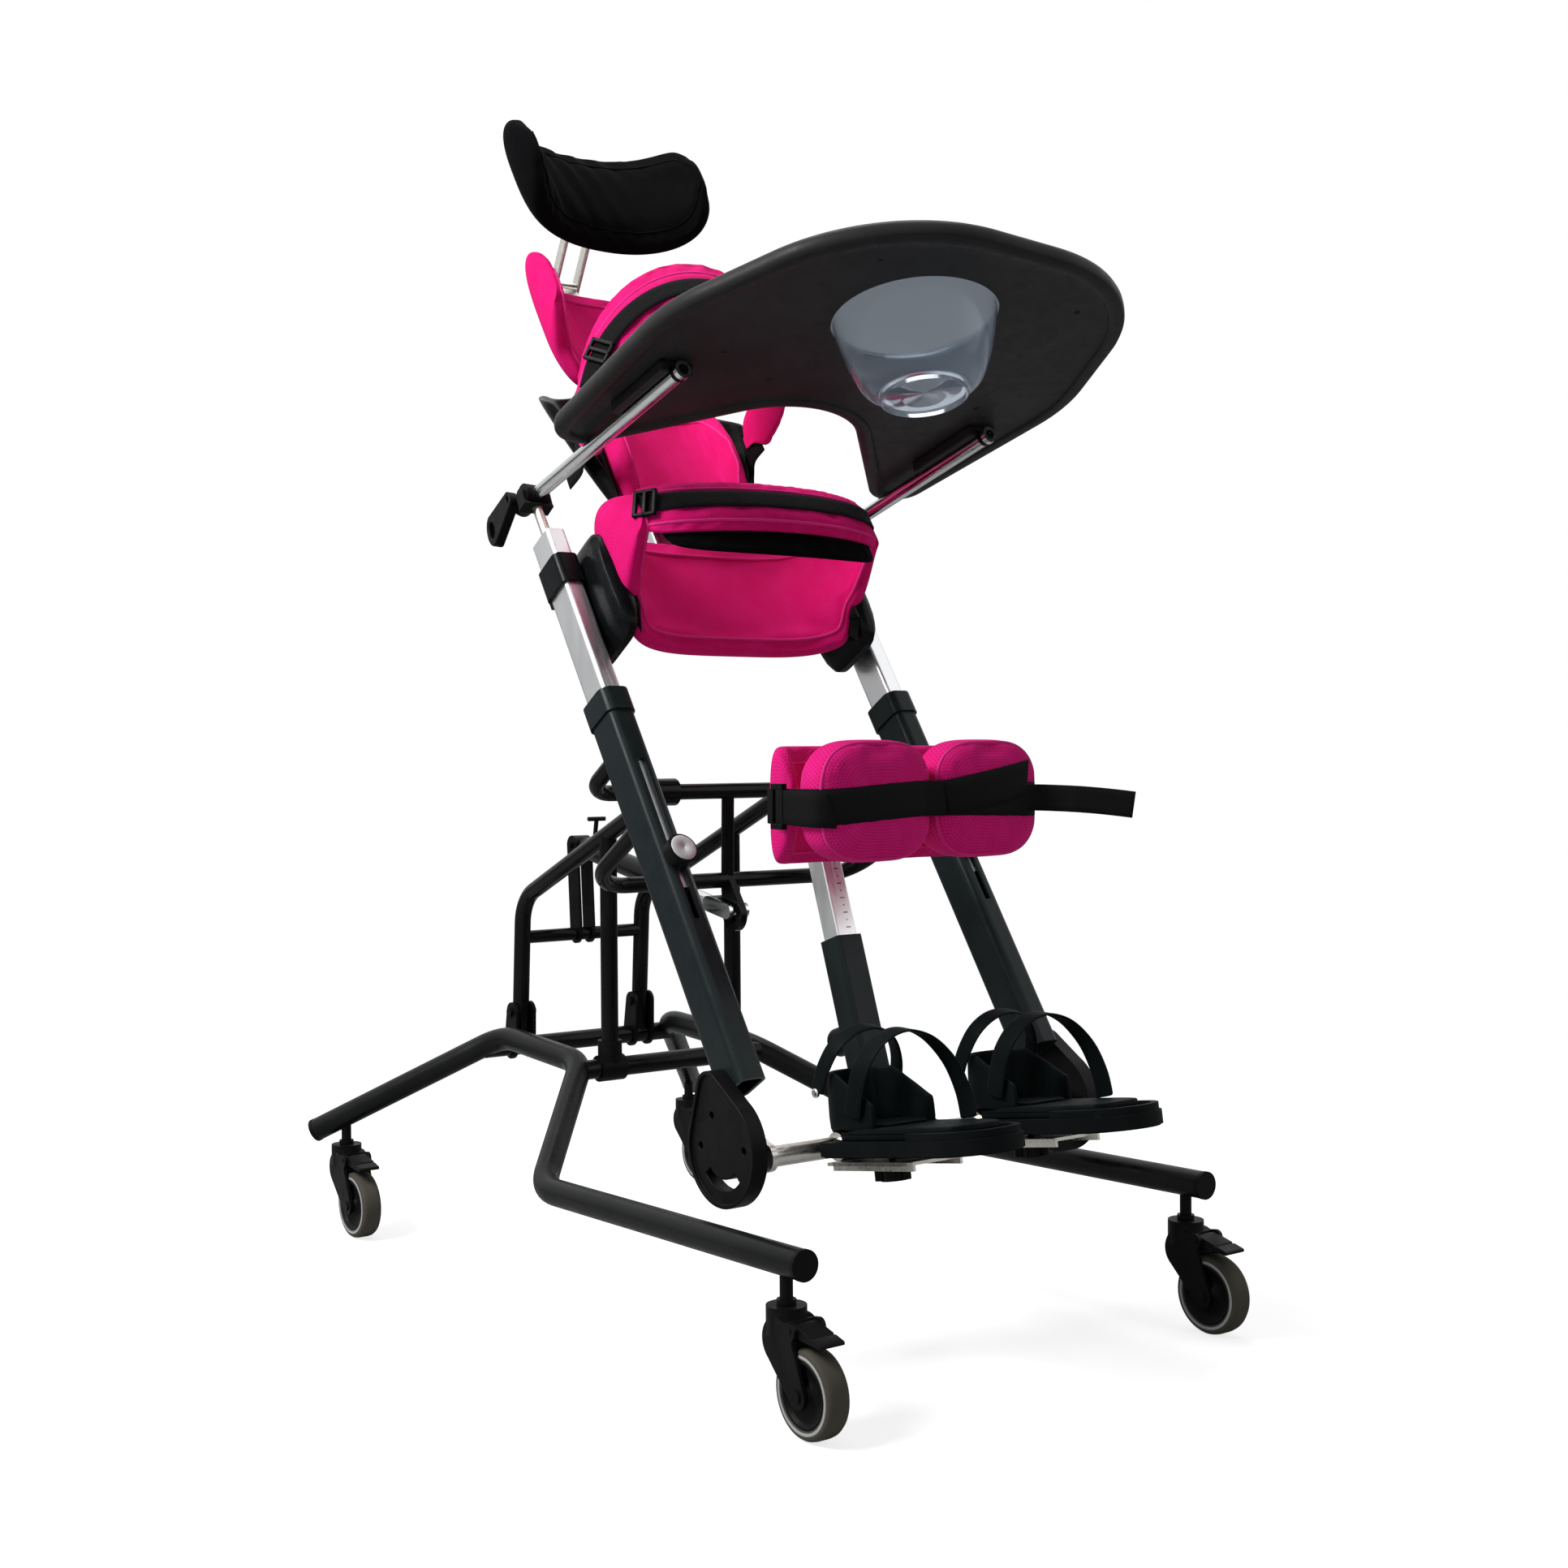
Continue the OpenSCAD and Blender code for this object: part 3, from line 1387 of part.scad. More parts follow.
module footplate(left) {
    low = plate_top - plate_h;
    ribs = floor((foot_len - foot_w / 2) / plate_rib_step) - 1;
    hang = 2 * seat_gap + carrier_t + knob_gap + stud_grip;
    color("black") footing() translate([side_of(left) * foot_half, 0, 0]) {
        difference() {
            union() {
                translate([0, 0, low + plate_edge]) linear_extrude(plate_h - plate_edge) plate_outline(0);
                translate([0, 0, low]) linear_extrude(plate_h) plate_outline(plate_edge);
            }
            translate([0, 0, low - eps]) linear_extrude(plate_h - plate_skin + eps)
                plate_outline(plate_edge + plate_wall);
        }
        for (i = [1 : ribs])
            box([-foot_w / 2 + plate_wall, -plate_back - i * plate_rib_step, low + carrier_t],
                [foot_w / 2 - plate_wall, -plate_back - i * plate_rib_step + plate_rib_t,
                    plate_top - plate_skin / 2]);
        translate([0, -stud_y, low]) cylinder(d = stud_boss_d, h = plate_h - plate_skin / 2);
        translate([0, -stud_y, low - hang]) cylinder(d = stud_d, h = hang + plate_h / 2);
        translate([0, 0, plate_top - eps]) linear_extrude(kerb_h + eps) difference() {
            plate_outline(plate_edge);
            plate_outline(plate_edge + kerb_w);
            translate([-foot_w, -foot_len * (1 - kerb_share) - plate_back]) square([2 * foot_w, foot_len]);
        }
    }
}

sole_top = plate_top + seat_gap + sole_t;
heel_mid = heel_back - sole_w / 2;

// Webbing over the foot: two straight legs and a half ring
module foot_arch(y, low, w, rise) {
    translate([0, y, low]) {
        for (x = [-arch_r - arch_t, arch_r]) box([x, -w / 2, 0], [x + arch_t, w / 2, rise]);
        translate([0, 0, rise]) rotate([90, 0, 0]) rotate_extrude(angle = 180)
            translate([arch_r, -w / 2]) square([arch_t, w]);
    }
}

module sandal(left) {
    base = plate_top + seat_gap;
    front = -plate_back - sole_len + sole_w / 2;
    color("black") footing() translate([side_of(left) * foot_half, 0, 0]) {
        translate([0, 0, base]) linear_extrude(sole_t) {
            translate([-sole_w / 2, front]) square([sole_w, -plate_back - front]);
            translate([0, front]) circle(d = sole_w);
        }
        translate([0, 0, sole_top - seat_gap]) {
            linear_extrude(heel_pad_t) {
                translate([-sole_w / 2, heel_mid - heel_pad_len]) square([sole_w, heel_pad_len]);
                translate([0, heel_mid]) circle(d = sole_w);
            }
            difference() {
                linear_extrude(heel_h) {
                    translate([-sole_w / 2, heel_mid - heel_side_len]) square([sole_w, heel_side_len]);
                    translate([0, heel_mid]) circle(d = sole_w);
                }
                translate([0, 0, heel_pad_t]) linear_extrude(heel_h) {
                    translate([-sole_w / 2 + heel_wall, heel_mid - heel_side_len - eps])
                        square([sole_w - 2 * heel_wall, heel_side_len + eps]);
                    translate([0, heel_mid]) circle(d = sole_w - 2 * heel_wall);
                }
                translate([0, heel_mid - heel_side_len, heel_h]) rotate([-heel_slope, 0, 0])
                    box([-sole_w, -heel_h, -heel_h / 2], [sole_w, sole_w / 2, heel_h]);
            }
        }
        foot_arch(-arch_y, sole_top - strap_leg_sink, arch_w, arch_rise);
        foot_arch(-ankle_y, sole_top + heel_pad_t - strap_leg_sink, ankle_w, heel_h / 2 + ankle_rise);
    }
}

module foot_knob(left) {
    top = plate_top - plate_h - 2 * seat_gap - carrier_t - knob_gap;
    core = star_d * (1 - star_lobe_share);
    color("black") footing() translate([side_of(left) * foot_half, -stud_y, top - star_h]) difference() {
        union() {
            rotate([0, 0, 180 / star_lobes]) cylinder(d = core, h = star_h);
            for (i = [0 : star_lobes - 1]) rotate([0, 0, i * 360 / star_lobes])
                translate([core / 2, 0, eps]) cylinder(d = star_d * star_lobe_share, h = star_h - 2 * eps);
        }
        translate([0, 0, star_h - stud_grip - seat_gap])
            cylinder(d = stud_d + 2 * run_clear, h = stud_grip + seat_gap + eps);
    }
}

// Knee support

module knee_post() {
    cavity = knee_outer - 2 * knee_outer_wall;
    color("darkslategray") difference() {
        union() {
            kneeing() linear_extrude(knee_outer_len) round_rect(knee_outer, knee_outer, knee_corner);
            for (x = [-knee_ring_w / 2, knee_ring_w / 2 - knee_ring_wall])
                side_plate(x, knee_ring_wall)
                    tapered_link([foot_bar_at[1], foot_bar_at[2]], foot_bar_d / 2 + knee_ring_wall,
                        [foot_bar_at[1] + knee_foot_y, foot_bar_at[2] + knee_foot_z], knee_outer / 2);
        }
        kneeing() translate([0, 0, -knee_outer]) linear_extrude(knee_outer_len + knee_outer + eps)
            round_rect(cavity, cavity, knee_corner / 2);
        footing() cross_pin([-knee_ring_w, 0, 0], foot_bar_d, 2 * knee_ring_w);
        kneeing() translate([0, 0, knee_knob_up]) push_rod(-knee_outer, knee_outer,
            knee_knob_shaft + 2 * run_clear);
    }
}

module knee_knob() {
    color("black") kneeing() translate([0, 0, knee_knob_up]) {
        push_rod(-knee_outer / 2 - slide_clear - knee_knob_t, knee_knob_t, knee_knob_d);
        push_rod(-knee_outer / 2 - slide_clear - eps, knee_outer_wall + slide_clear + eps, knee_knob_shaft);
    }
}

// Middle of the post's axis at the height of the knee pads
knee_axis_y = foot_bar_at[1] + knee_foot_y + (knee_pad_z - foot_bar_at[2] - knee_foot_z) * tan(knee_lean);
knee_plate_y = -knee_back_y + knee_back_t / 2 + seat_gap;

module knee_tube() {
    low = knee_outer_len - knee_inner_tail;
    color("silver") {
        kneeing() difference() {
            translate([0, 0, low]) linear_extrude(knee_inner_top - low)
                round_rect(knee_inner, knee_inner, knee_corner / 2);
            translate([0, 0, low - eps]) linear_extrude(knee_outer_len - low)
                round_rect(knee_inner - 2 * knee_inner_wall, knee_inner - 2 * knee_inner_wall,
                    knee_inner_wall / 2);
        }
        box([-knee_plate_w / 2, knee_plate_y, knee_pad_z - knee_plate_h / 2],
            [knee_plate_w / 2, knee_plate_y + knee_plate_t, knee_pad_z + knee_plate_h / 2]);
        box([-knee_arm_w / 2, knee_plate_y, knee_pad_z - knee_arm_h / 2],
            [knee_arm_w / 2, knee_axis_y, knee_pad_z + knee_arm_h / 2]);
    }
}

module knee_back_pads() {
    color("deeppink") for (s = [-1, 1])
        translate([s * knee_back_x, -knee_back_y, knee_pad_z])
            u_pad(knee_back_half, knee_back_reach, knee_back_t, knee_back_h, 0, knee_back_end_share);
}

module knee_front_pads() {
    color("deeppink") for (s = [-1, 1])
        translate([s * knee_front_x, -knee_front_y, knee_pad_z]) cushion(2 * knee_half, knee_front_t, knee_h);
}

// Strap round both front cushions, from one side of the back pads to the other, and its loose end
module knee_strap() {
    off = knee_strap_t / 2 + knee_strap_gap;
    side = knee_back_x + wing_out(knee_back_half, knee_back_t, knee_sew_share, knee_back_end_share) + off;
    rear = [[side, -knee_strap_back, knee_pad_z], [side, -knee_back_y - knee_back_reach, knee_pad_z]];
    round = [for (q = [for (j = [0 : knee_strap_turns]) soft_section(round_share)[j]])
        [knee_front_x + knee_half * q[0],
            -knee_front_y - knee_front_t / 2 * q[1] * (1 - crown_share * q[0] * q[0]), knee_pad_z]];
    outs = squares(concat([rear[1]], round));
    half = concat(rear, [for (i = [0 : len(round) - 1]) round[i] + off * outs[i + 1]]);
    run = concat([for (p = half) flip(p)], [for (i = [len(half) - 1 : -1 : 0]) half[i]]);
    tail = [for (i = [0 : knee_tail_steps]) let (t = i / knee_tail_steps) half[len(rear) + 1]
        + [knee_tail_len * t * cos(knee_tail_turn), knee_tail_len * t * sin(knee_tail_turn),
            -knee_tail_sag * t * t]];
    buckle = flip(mix(rear[1], half[len(rear)], -knee_buckle_y));
    color("black") {
        for (p = [run, tail])
            soft_band(p, [for (q = p) knee_strap_t / 2], [for (q = p) knee_strap_w / 2], strap_section);
        translate(buckle) box([-knee_buckle_t, -knee_buckle_len / 2, -knee_buckle_h / 2],
            [0, knee_buckle_len / 2, knee_buckle_h / 2]);
    }
}

side_tube(true);  // left_side_tube
side_tube(false);  // right_side_tube
base_cross_tubes();
tower_tubes();
front_posts();
tower_brace();
base_fittings();
fork(true, true);  // front_left_fork
fork(true, false);  // front_right_fork
fork(false, true);  // rear_left_fork
fork(false, false);  // rear_right_fork
wheel(true, true);  // front_left_wheel
wheel(true, false);  // front_right_wheel
wheel(false, true);  // rear_left_wheel
wheel(false, false);  // rear_right_wheel
pedal(true, true);  // front_left_pedal
pedal(true, false);  // front_right_pedal
pedal(false, true);  // rear_left_pedal
pedal(false, false);  // rear_right_pedal
upright(true);  // left_upright
upright(false);  // right_upright
pivot_bar();
lower_bar();
side_bracket(true);  // left_side_bracket
side_bracket(false);  // right_side_bracket
actuator_body();
actuator_rod();
inner_tubes();
height_knob(true);  // left_height_knob
height_knob(false);  // right_height_knob
pelvic_shell();
pelvic_pad();
pelvic_belt();
spine();
chest_shell();
chest_pad();
upper_back_pad();
chest_belt();
headrest_stem();
headrest_pad();
tray_stems();
tray_clamps();
clamp_lever(true);  // left_clamp_lever
clamp_lever(false);  // right_clamp_lever
tray_rods();
tray();
bowl();
foot_bar();
footplate(true);  // left_footplate
footplate(false);  // right_footplate
sandal(true);  // left_sandal
sandal(false);  // right_sandal
foot_knob(true);  // left_foot_knob
foot_knob(false);  // right_foot_knob
knee_post();
knee_knob();
knee_tube();
knee_back_pads();
knee_front_pads();
knee_strap();
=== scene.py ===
"""Looks of the standing frame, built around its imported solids."""
import json
import math
import bmesh
import bpy
from mathutils import Matrix, Vector

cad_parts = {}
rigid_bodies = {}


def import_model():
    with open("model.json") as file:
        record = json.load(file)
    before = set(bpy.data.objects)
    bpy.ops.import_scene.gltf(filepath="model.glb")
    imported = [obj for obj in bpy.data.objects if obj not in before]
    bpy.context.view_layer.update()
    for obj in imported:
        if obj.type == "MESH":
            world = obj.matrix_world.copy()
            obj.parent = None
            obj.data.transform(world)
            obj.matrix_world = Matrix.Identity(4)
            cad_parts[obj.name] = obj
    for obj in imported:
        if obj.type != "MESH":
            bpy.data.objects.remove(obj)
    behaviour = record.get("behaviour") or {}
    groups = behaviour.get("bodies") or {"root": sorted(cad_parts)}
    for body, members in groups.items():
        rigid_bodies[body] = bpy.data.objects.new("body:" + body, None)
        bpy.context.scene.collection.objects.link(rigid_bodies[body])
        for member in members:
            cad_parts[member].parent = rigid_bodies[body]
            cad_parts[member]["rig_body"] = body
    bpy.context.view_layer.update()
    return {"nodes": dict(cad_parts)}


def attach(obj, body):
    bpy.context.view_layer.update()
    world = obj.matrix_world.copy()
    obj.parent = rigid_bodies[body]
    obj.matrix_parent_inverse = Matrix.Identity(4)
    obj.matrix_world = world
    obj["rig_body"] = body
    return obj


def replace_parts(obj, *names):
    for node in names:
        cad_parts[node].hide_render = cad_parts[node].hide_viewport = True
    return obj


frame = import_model()
NODES = frame["nodes"]
MM = 0.001
ROW = Matrix.Scale(MM, 4)
SIDES = ((1, "left"), (-1, "right"))
UP = Vector((0, 0, 1))


def turn(degrees, axis):
    return Matrix.Rotation(math.radians(degrees), 4, axis)


# Frames of the part, in millimetres

LEAN = 33.0
PIVOT = Vector((0, 29, 690))
UPRIGHT_AHEAD = 123.0
RIM_UP = 69.0


def lean_matrix():
    """From the leaning frame of the uprights, in millimetres, to the row frame, in metres."""
    return ROW @ Matrix.Translation(PIVOT) @ turn(-LEAN, "X")


def lean_at(x, n, s):
    """A point of the leaning frame: across, ahead of the uprights and up from their rim."""
    return Vector((x, -UPRIGHT_AHEAD - n, RIM_UP + s))


INNER_OUT = 268.0
UPRIGHT_HALF = 242.0
CLAMP_RIGHT = INNER_OUT + 74
CLAMP_LEFT = INNER_OUT + 26
TRAY_RISE = 16.0
TRAY_ROLL = math.atan((CLAMP_RIGHT - CLAMP_LEFT) / (2 * UPRIGHT_HALF))
CLAMP_HALF = UPRIGHT_HALF / math.cos(TRAY_ROLL)


def tray_matrix():
    """From the tray's frame, in millimetres, to the row frame, in metres."""
    return (lean_matrix() @ Matrix.Translation(lean_at(0, 0, (CLAMP_RIGHT + CLAMP_LEFT) / 2))
            @ Matrix.Rotation(TRAY_ROLL, 4, "Y") @ turn(LEAN - TRAY_RISE, "X"))


FOOT_PITCH = 9.0
FOOT_PIN = Vector((0, -UPRIGHT_AHEAD + 30, RIM_UP - 565 - 63))
FOOT_BAR = lean_matrix() @ (FOOT_PIN + Vector((0, -25, -25)))


def foot_matrix():
    """From the foot bar's frame, in millimetres, to the row frame, in metres."""
    return Matrix.Translation(FOOT_BAR) @ turn(-FOOT_PITCH, "X") @ ROW


KNEE_LEAN = 19.0
KNEE_FOOT = Vector((0, 88, 25))


def knee_matrix():
    """From the knee post's frame, in millimetres, to the row frame, in metres."""
    return Matrix.Translation(FOOT_BAR + KNEE_FOOT * MM) @ turn(-KNEE_LEAN, "X") @ ROW


# Camera, light and floor

class Nodes:
    """Puts a node tree together."""

    def __init__(self, tree):
        self.tree = tree

    def add(self, kind, **values):
        node = self.tree.nodes.new(kind)
        for key, value in values.items():
            setattr(node, key, value)
        return node

    def link(self, a, b):
        self.tree.links.new(a, b)

    def put(self, value, socket):
        """Sets a socket to a number, or links an output to it."""
        if isinstance(value, (int, float)):
            socket.default_value = value
        else:
            self.link(value, socket)

    def math(self, kind, *values):
        node = self.add("ShaderNodeMath", operation=kind)
        for value, socket in zip(values, node.inputs):
            self.put(value, socket)
        return node.outputs[0]

    def ranged(self, value, low, high, to_low, to_high, kind="LINEAR"):
        node = self.add("ShaderNodeMapRange", interpolation_type=kind)
        keys = ("Value", "From Min", "From Max", "To Min", "To Max")
        for key, v in zip(keys, (value, low, high, to_low, to_high)):
            self.put(v, node.inputs[key])
        return node.outputs["Result"]


def add_camera():
    """The camera that was fitted to the photo."""
    yaw, pitch, roll = 0.639, -0.0158, -0.0071
    ahead = Vector((math.sin(yaw) * math.cos(pitch), math.cos(yaw) * math.cos(pitch), math.sin(pitch)))
    across = ahead.cross(UP).normalized()
    up = across.cross(ahead)
    right = across * math.cos(roll) + up * math.sin(roll)
    top = up * math.cos(roll) - across * math.sin(roll)
    camera = bpy.data.cameras.new("camera")
    camera.sensor_width = 36
    camera.lens = 45.73
    camera.clip_end = 200
    item = bpy.data.objects.new("camera", camera)
    place = Matrix((right, top, -ahead)).transposed().to_4x4()
    place.translation = (-1.6225, -2.2887, 0.7438)
    item.matrix_world = place
    bpy.context.scene.collection.objects.link(item)
    bpy.context.scene.camera = item


def add_lamp(name, place, aim, size, power):
    lamp = bpy.data.lights.new(name, "AREA")
    lamp.shape = "DISK"
    lamp.size = size
    lamp.energy = power
    item = bpy.data.objects.new(name, lamp)
    item.location = place
    item.rotation_euler = (Vector(aim) - Vector(place)).to_track_quat("-Z", "Y").to_euler()
    bpy.context.scene.collection.objects.link(item)


WHITE = (1, 1, 1, 1)
AMBIENT = 0.19
SEEN_THROUGH = 0.32
FLOOR_GLOW = 0.78
FLOOR_SIDE = 60.0
FLOOR_DROP = -0.001


def add_world():
    """White to the camera, a room that is lighter above to mirrors, and dimmer through clear material."""
    world = bpy.data.worlds.new("studio")
    bpy.context.scene.world = world
    world.use_nodes = True
    nodes = Nodes(world.node_tree)
    ground = world.node_tree.nodes["Background"]
    ground.inputs["Color"].default_value = WHITE
    path = nodes.add("ShaderNodeLightPath").outputs
    way = nodes.add("ShaderNodeSeparateXYZ")
    nodes.link(nodes.add("ShaderNodeTexCoord").outputs["Generated"], way.inputs[0])
    room = nodes.ranged(way.outputs[2], 0.05, 0.75, 0.36, 1.0)
    mirrored = nodes.math("MULTIPLY_ADD", path["Is Glossy Ray"], room, AMBIENT)
    through = nodes.ranged(path["Is Transmission Ray"], 0, 1, mirrored, SEEN_THROUGH)
    nodes.link(nodes.ranged(path["Is Camera Ray"], 0, 1, through, 1.0), ground.inputs["Strength"])


def add_floor():
    """A pale floor that keeps the shadow near the object and fades to white further out."""
    mesh = bpy.data.meshes.new("floor")
    corners = [(x * FLOOR_SIDE, y * FLOOR_SIDE, FLOOR_DROP) for x, y in ((-1, -1), (1, -1), (1, 1), (-1, 1))]
    mesh.from_pydata(corners, [], [(0, 1, 2, 3)])
    floor = bpy.data.objects.new("floor", mesh)
    bpy.context.scene.collection.objects.link(floor)
    look = bpy.data.materials.new("pale_floor")
    look.use_nodes = True
    nodes = Nodes(look.node_tree)
    plain = look.node_tree.nodes["Principled BSDF"]
    for socket, value in (("Base Color", (0.5, 0.5, 0.5, 1)), ("Roughness", 0.9), ("Specular IOR Level", 0.0),
                          ("Emission Color", WHITE)):
        plain.inputs[socket].default_value = value
    path = nodes.add("ShaderNodeLightPath").outputs
    seen = nodes.math("MAXIMUM", path["Is Camera Ray"], path["Is Transmission Ray"])
    nodes.link(nodes.math("MULTIPLY", seen, FLOOR_GLOW), plain.inputs["Emission Strength"])
    far = nodes.add("ShaderNodeVectorMath", operation="LENGTH")
    nodes.link(nodes.add("ShaderNodeTexCoord").outputs["Object"], far.inputs[0])
    fade = nodes.ranged(far.outputs["Value"], 0.9, 2.4, 0, 1, "SMOOTHSTEP")
    white = nodes.add("ShaderNodeEmission")
    white.inputs["Color"].default_value = WHITE
    both = nodes.add("ShaderNodeMixShader")
    nodes.link(nodes.math("MULTIPLY", fade, seen), both.inputs["Fac"])
    nodes.link(plain.outputs["BSDF"], both.inputs[1])
    nodes.link(white.outputs["Emission"], both.inputs[2])
    nodes.link(both.outputs["Shader"], look.node_tree.nodes["Material Output"].inputs["Surface"])
    mesh.materials.append(look)


bpy.context.scene.view_settings.view_transform = "Standard"
add_camera()
add_world()
add_floor()
add_lamp("key", (-3.0, 0.3, 3.2), (0, 0, 0.8), 1.6, 138)
add_lamp("fill", (2.6, -2.6, 2.0), (0, 0, 0.8), 2.6, 12)
add_lamp("top", (0.3, 0.5, 4.2), (0, 0, 0.6), 2.4, 50)


# Materials

class Look(Nodes):
    """A procedural material."""

    def __init__(self, name, color, rough, metal=0.0, space="Object"):
        self.material = bpy.data.materials.new(name)
        self.material.use_nodes = True
        super().__init__(self.material.node_tree)
        self.shader = self.tree.nodes["Principled BSDF"]
        self.color = tuple(color) + (1,)
        self.set("Base Color", self.color)
        self.set("Roughness", rough)
        self.set("Metallic", metal)
        self.rough = rough
        self.place = self.add("ShaderNodeTexCoord").outputs[space]
        self.normal = None
        self.tint = None

    def set(self, socket, value):
        self.shader.inputs[socket].default_value = value

    def noise(self, scale, detail=3.0, stretch=None, rough=0.55):
        node = self.add("ShaderNodeTexNoise")
        node.inputs["Scale"].default_value = scale
        node.inputs["Detail"].default_value = detail
        node.inputs["Roughness"].default_value = rough
        place = self.place
        if stretch:
            mapping = self.add("ShaderNodeMapping")
            mapping.inputs["Scale"].default_value = stretch
            self.link(place, mapping.inputs["Vector"])
            place = mapping.outputs["Vector"]
        self.link(place, node.inputs["Vector"])
        return node.outputs["Fac"]

    def shade(self, value, other):
        """Mixes another colour in by a value from 0 to 1."""
        mix = self.add("ShaderNodeMix", data_type="RGBA")
        self.link(value, mix.inputs["Factor"])
        if self.tint is None:
            mix.inputs[6].default_value = self.color
        else:
            self.link(self.tint, mix.inputs[6])
        mix.inputs[7].default_value = tuple(other) + (1,)
        self.tint = mix.outputs[2]
        self.link(self.tint, self.shader.inputs["Base Color"])
        return self

    def polish(self, value, spread):
        self.link(self.ranged(value, 0.3, 0.7, self.rough - spread, self.rough + spread),
                  self.shader.inputs["Roughness"])
        return self

    def bump(self, value, strength, depth):
        node = self.add("ShaderNodeBump")
        node.inputs["Strength"].default_value = strength
        node.inputs["Distance"].default_value = depth
        self.link(value, node.inputs["Height"])
        if self.normal is not None:
            self.link(self.normal, node.inputs["Normal"])
        self.normal = node.outputs["Normal"]
        self.link(self.normal, self.shader.inputs["Normal"])
        return self

    def split(self):
        node = self.add("ShaderNodeSeparateXYZ")
        self.link(self.place, node.inputs[0])
        return node.outputs[0], node.outputs[1]


def painted(name, color, rough, glint, peel=0.25, shine=0.12):
    look = Look(name, color, rough)
    look.set("Specular IOR Level", shine)
    cloudy = look.noise(9, 4)
    look.shade(look.ranged(cloudy, 0.35, 0.75, 0, 1), glint)
    look.polish(look.noise(38, 5), 0.08)
    look.bump(look.noise(420, 2), peel, 0.0004)
    return look.material


def moulded(name, color, rough, glint, grain=1500, depth=0.0005, shine=0.08):
    look = Look(name, color, rough)
    look.set("Specular IOR Level", shine)
    look.shade(look.ranged(look.noise(14, 4), 0.4, 0.8, 0, 1), glint)
    look.polish(look.noise(60, 4), 0.07)
    look.bump(look.noise(grain, 2), 0.22, depth)
    return look.material


def metal(name, color, rough, streak, shade):
    look = Look(name, color, rough, 1.0)
    lines = look.noise(60, 5, streak)
    look.shade(look.ranged(lines, 0.35, 0.8, 0, 1), shade)
    look.polish(lines, 0.06)
    look.bump(lines, 0.03, 0.0002)
    return look.material


def mesh_cloth(name, color, hole_shade, pale, pitch, contrast, depth):
    """Spacer fabric: a honeycomb of small dots, on a map in metres; the dots are its holes, darkened with
    painted shade.
    """
    look = Look(name, color, 0.78, space="UV")
    look.set("Specular IOR Level", 0.07)
    u, v = look.split()
    turn = 2 * math.pi / pitch
    half = look.math("MULTIPLY", u, 0.5 * turn)
    high = look.math("MULTIPLY", v, math.sqrt(3) / 2 * turn)
    waves = [look.math("COSINE", look.math("MULTIPLY", u, turn)),
             look.math("COSINE", look.math("ADD", half, high)),
             look.math("COSINE", look.math("SUBTRACT", high, half))]
    dots = look.math("ADD", look.math("ADD", waves[0], waves[1]), waves[2])
    cells = look.ranged(dots, -1.5, 3.0, 0, 1)
    soft = look.noise(26, 4)
    look.shade(look.ranged(soft, 0.4, 0.75, 0, 0.55), pale)
    # Painted shade: the holes of the mesh are mixed towards a darker pink.
    look.shade(look.ranged(cells, 0.35, 0.95, 0, contrast), hole_shade)
    look.bump(cells, -0.55, depth)
    look.bump(soft, 0.25, 0.002)
    look.set("Sheen Weight", 0.04)
    look.set("Sheen Roughness", 0.5)
    look.set("Sheen Tint", (1.0, 0.40, 0.65, 1))
    return look.material


def ribbed(name, color, pale, pitch, depth, sheen=0.15):
    """Woven webbing: fine ribs across the band."""
    look = Look(name, color, 0.72, space="UV")
    look.set("Specular IOR Level", 0.08)
    u, v = look.split()
    ribs = look.math("SINE", look.math("MULTIPLY", u, 2 * math.pi / pitch))
    weave = look.math("SINE", look.math("MULTIPLY", v, 2 * math.pi / (pitch * 1.7)))
    both = look.math("MULTIPLY", ribs, weave)
    # Painted highlight and shade: paler on the raised crossings of the weave, darker between them.
    look.shade(look.ranged(both, -1, 1, 0, 0.7), pale)
    look.bump(both, 0.5, depth)
    look.bump(look.noise(90, 3), 0.2, 0.001)
    look.set("Sheen Weight", sheen)
    look.set("Sheen Tint", tuple(pale) + (1,))
    return look.material


def velour(name, color, pale):
    look = Look(name, color, 0.95)
    look.set("Specular IOR Level", 0.03)
    look.shade(look.ranged(look.noise(11, 5), 0.45, 0.8, 0, 0.8), pale)
    look.bump(look.noise(900, 2), 0.5, 0.0008)
    look.bump(look.noise(24, 4), 0.3, 0.003)
    look.set("Sheen Weight", 0.02)
    look.set("Sheen Roughness", 0.35)
    look.set("Sheen Tint", (0.5, 0.5, 0.55, 1))
    return look.material


def clear_plastic(name):
    look = Look(name, (0.50, 0.56, 0.64), 0.12)
    look.polish(look.noise(22, 3), 0.06)
    look.bump(look.noise(30, 2), 0.05, 0.001)
    look.set("Transmission Weight", 0.90)
    look.set("IOR", 1.25)
    return look.material


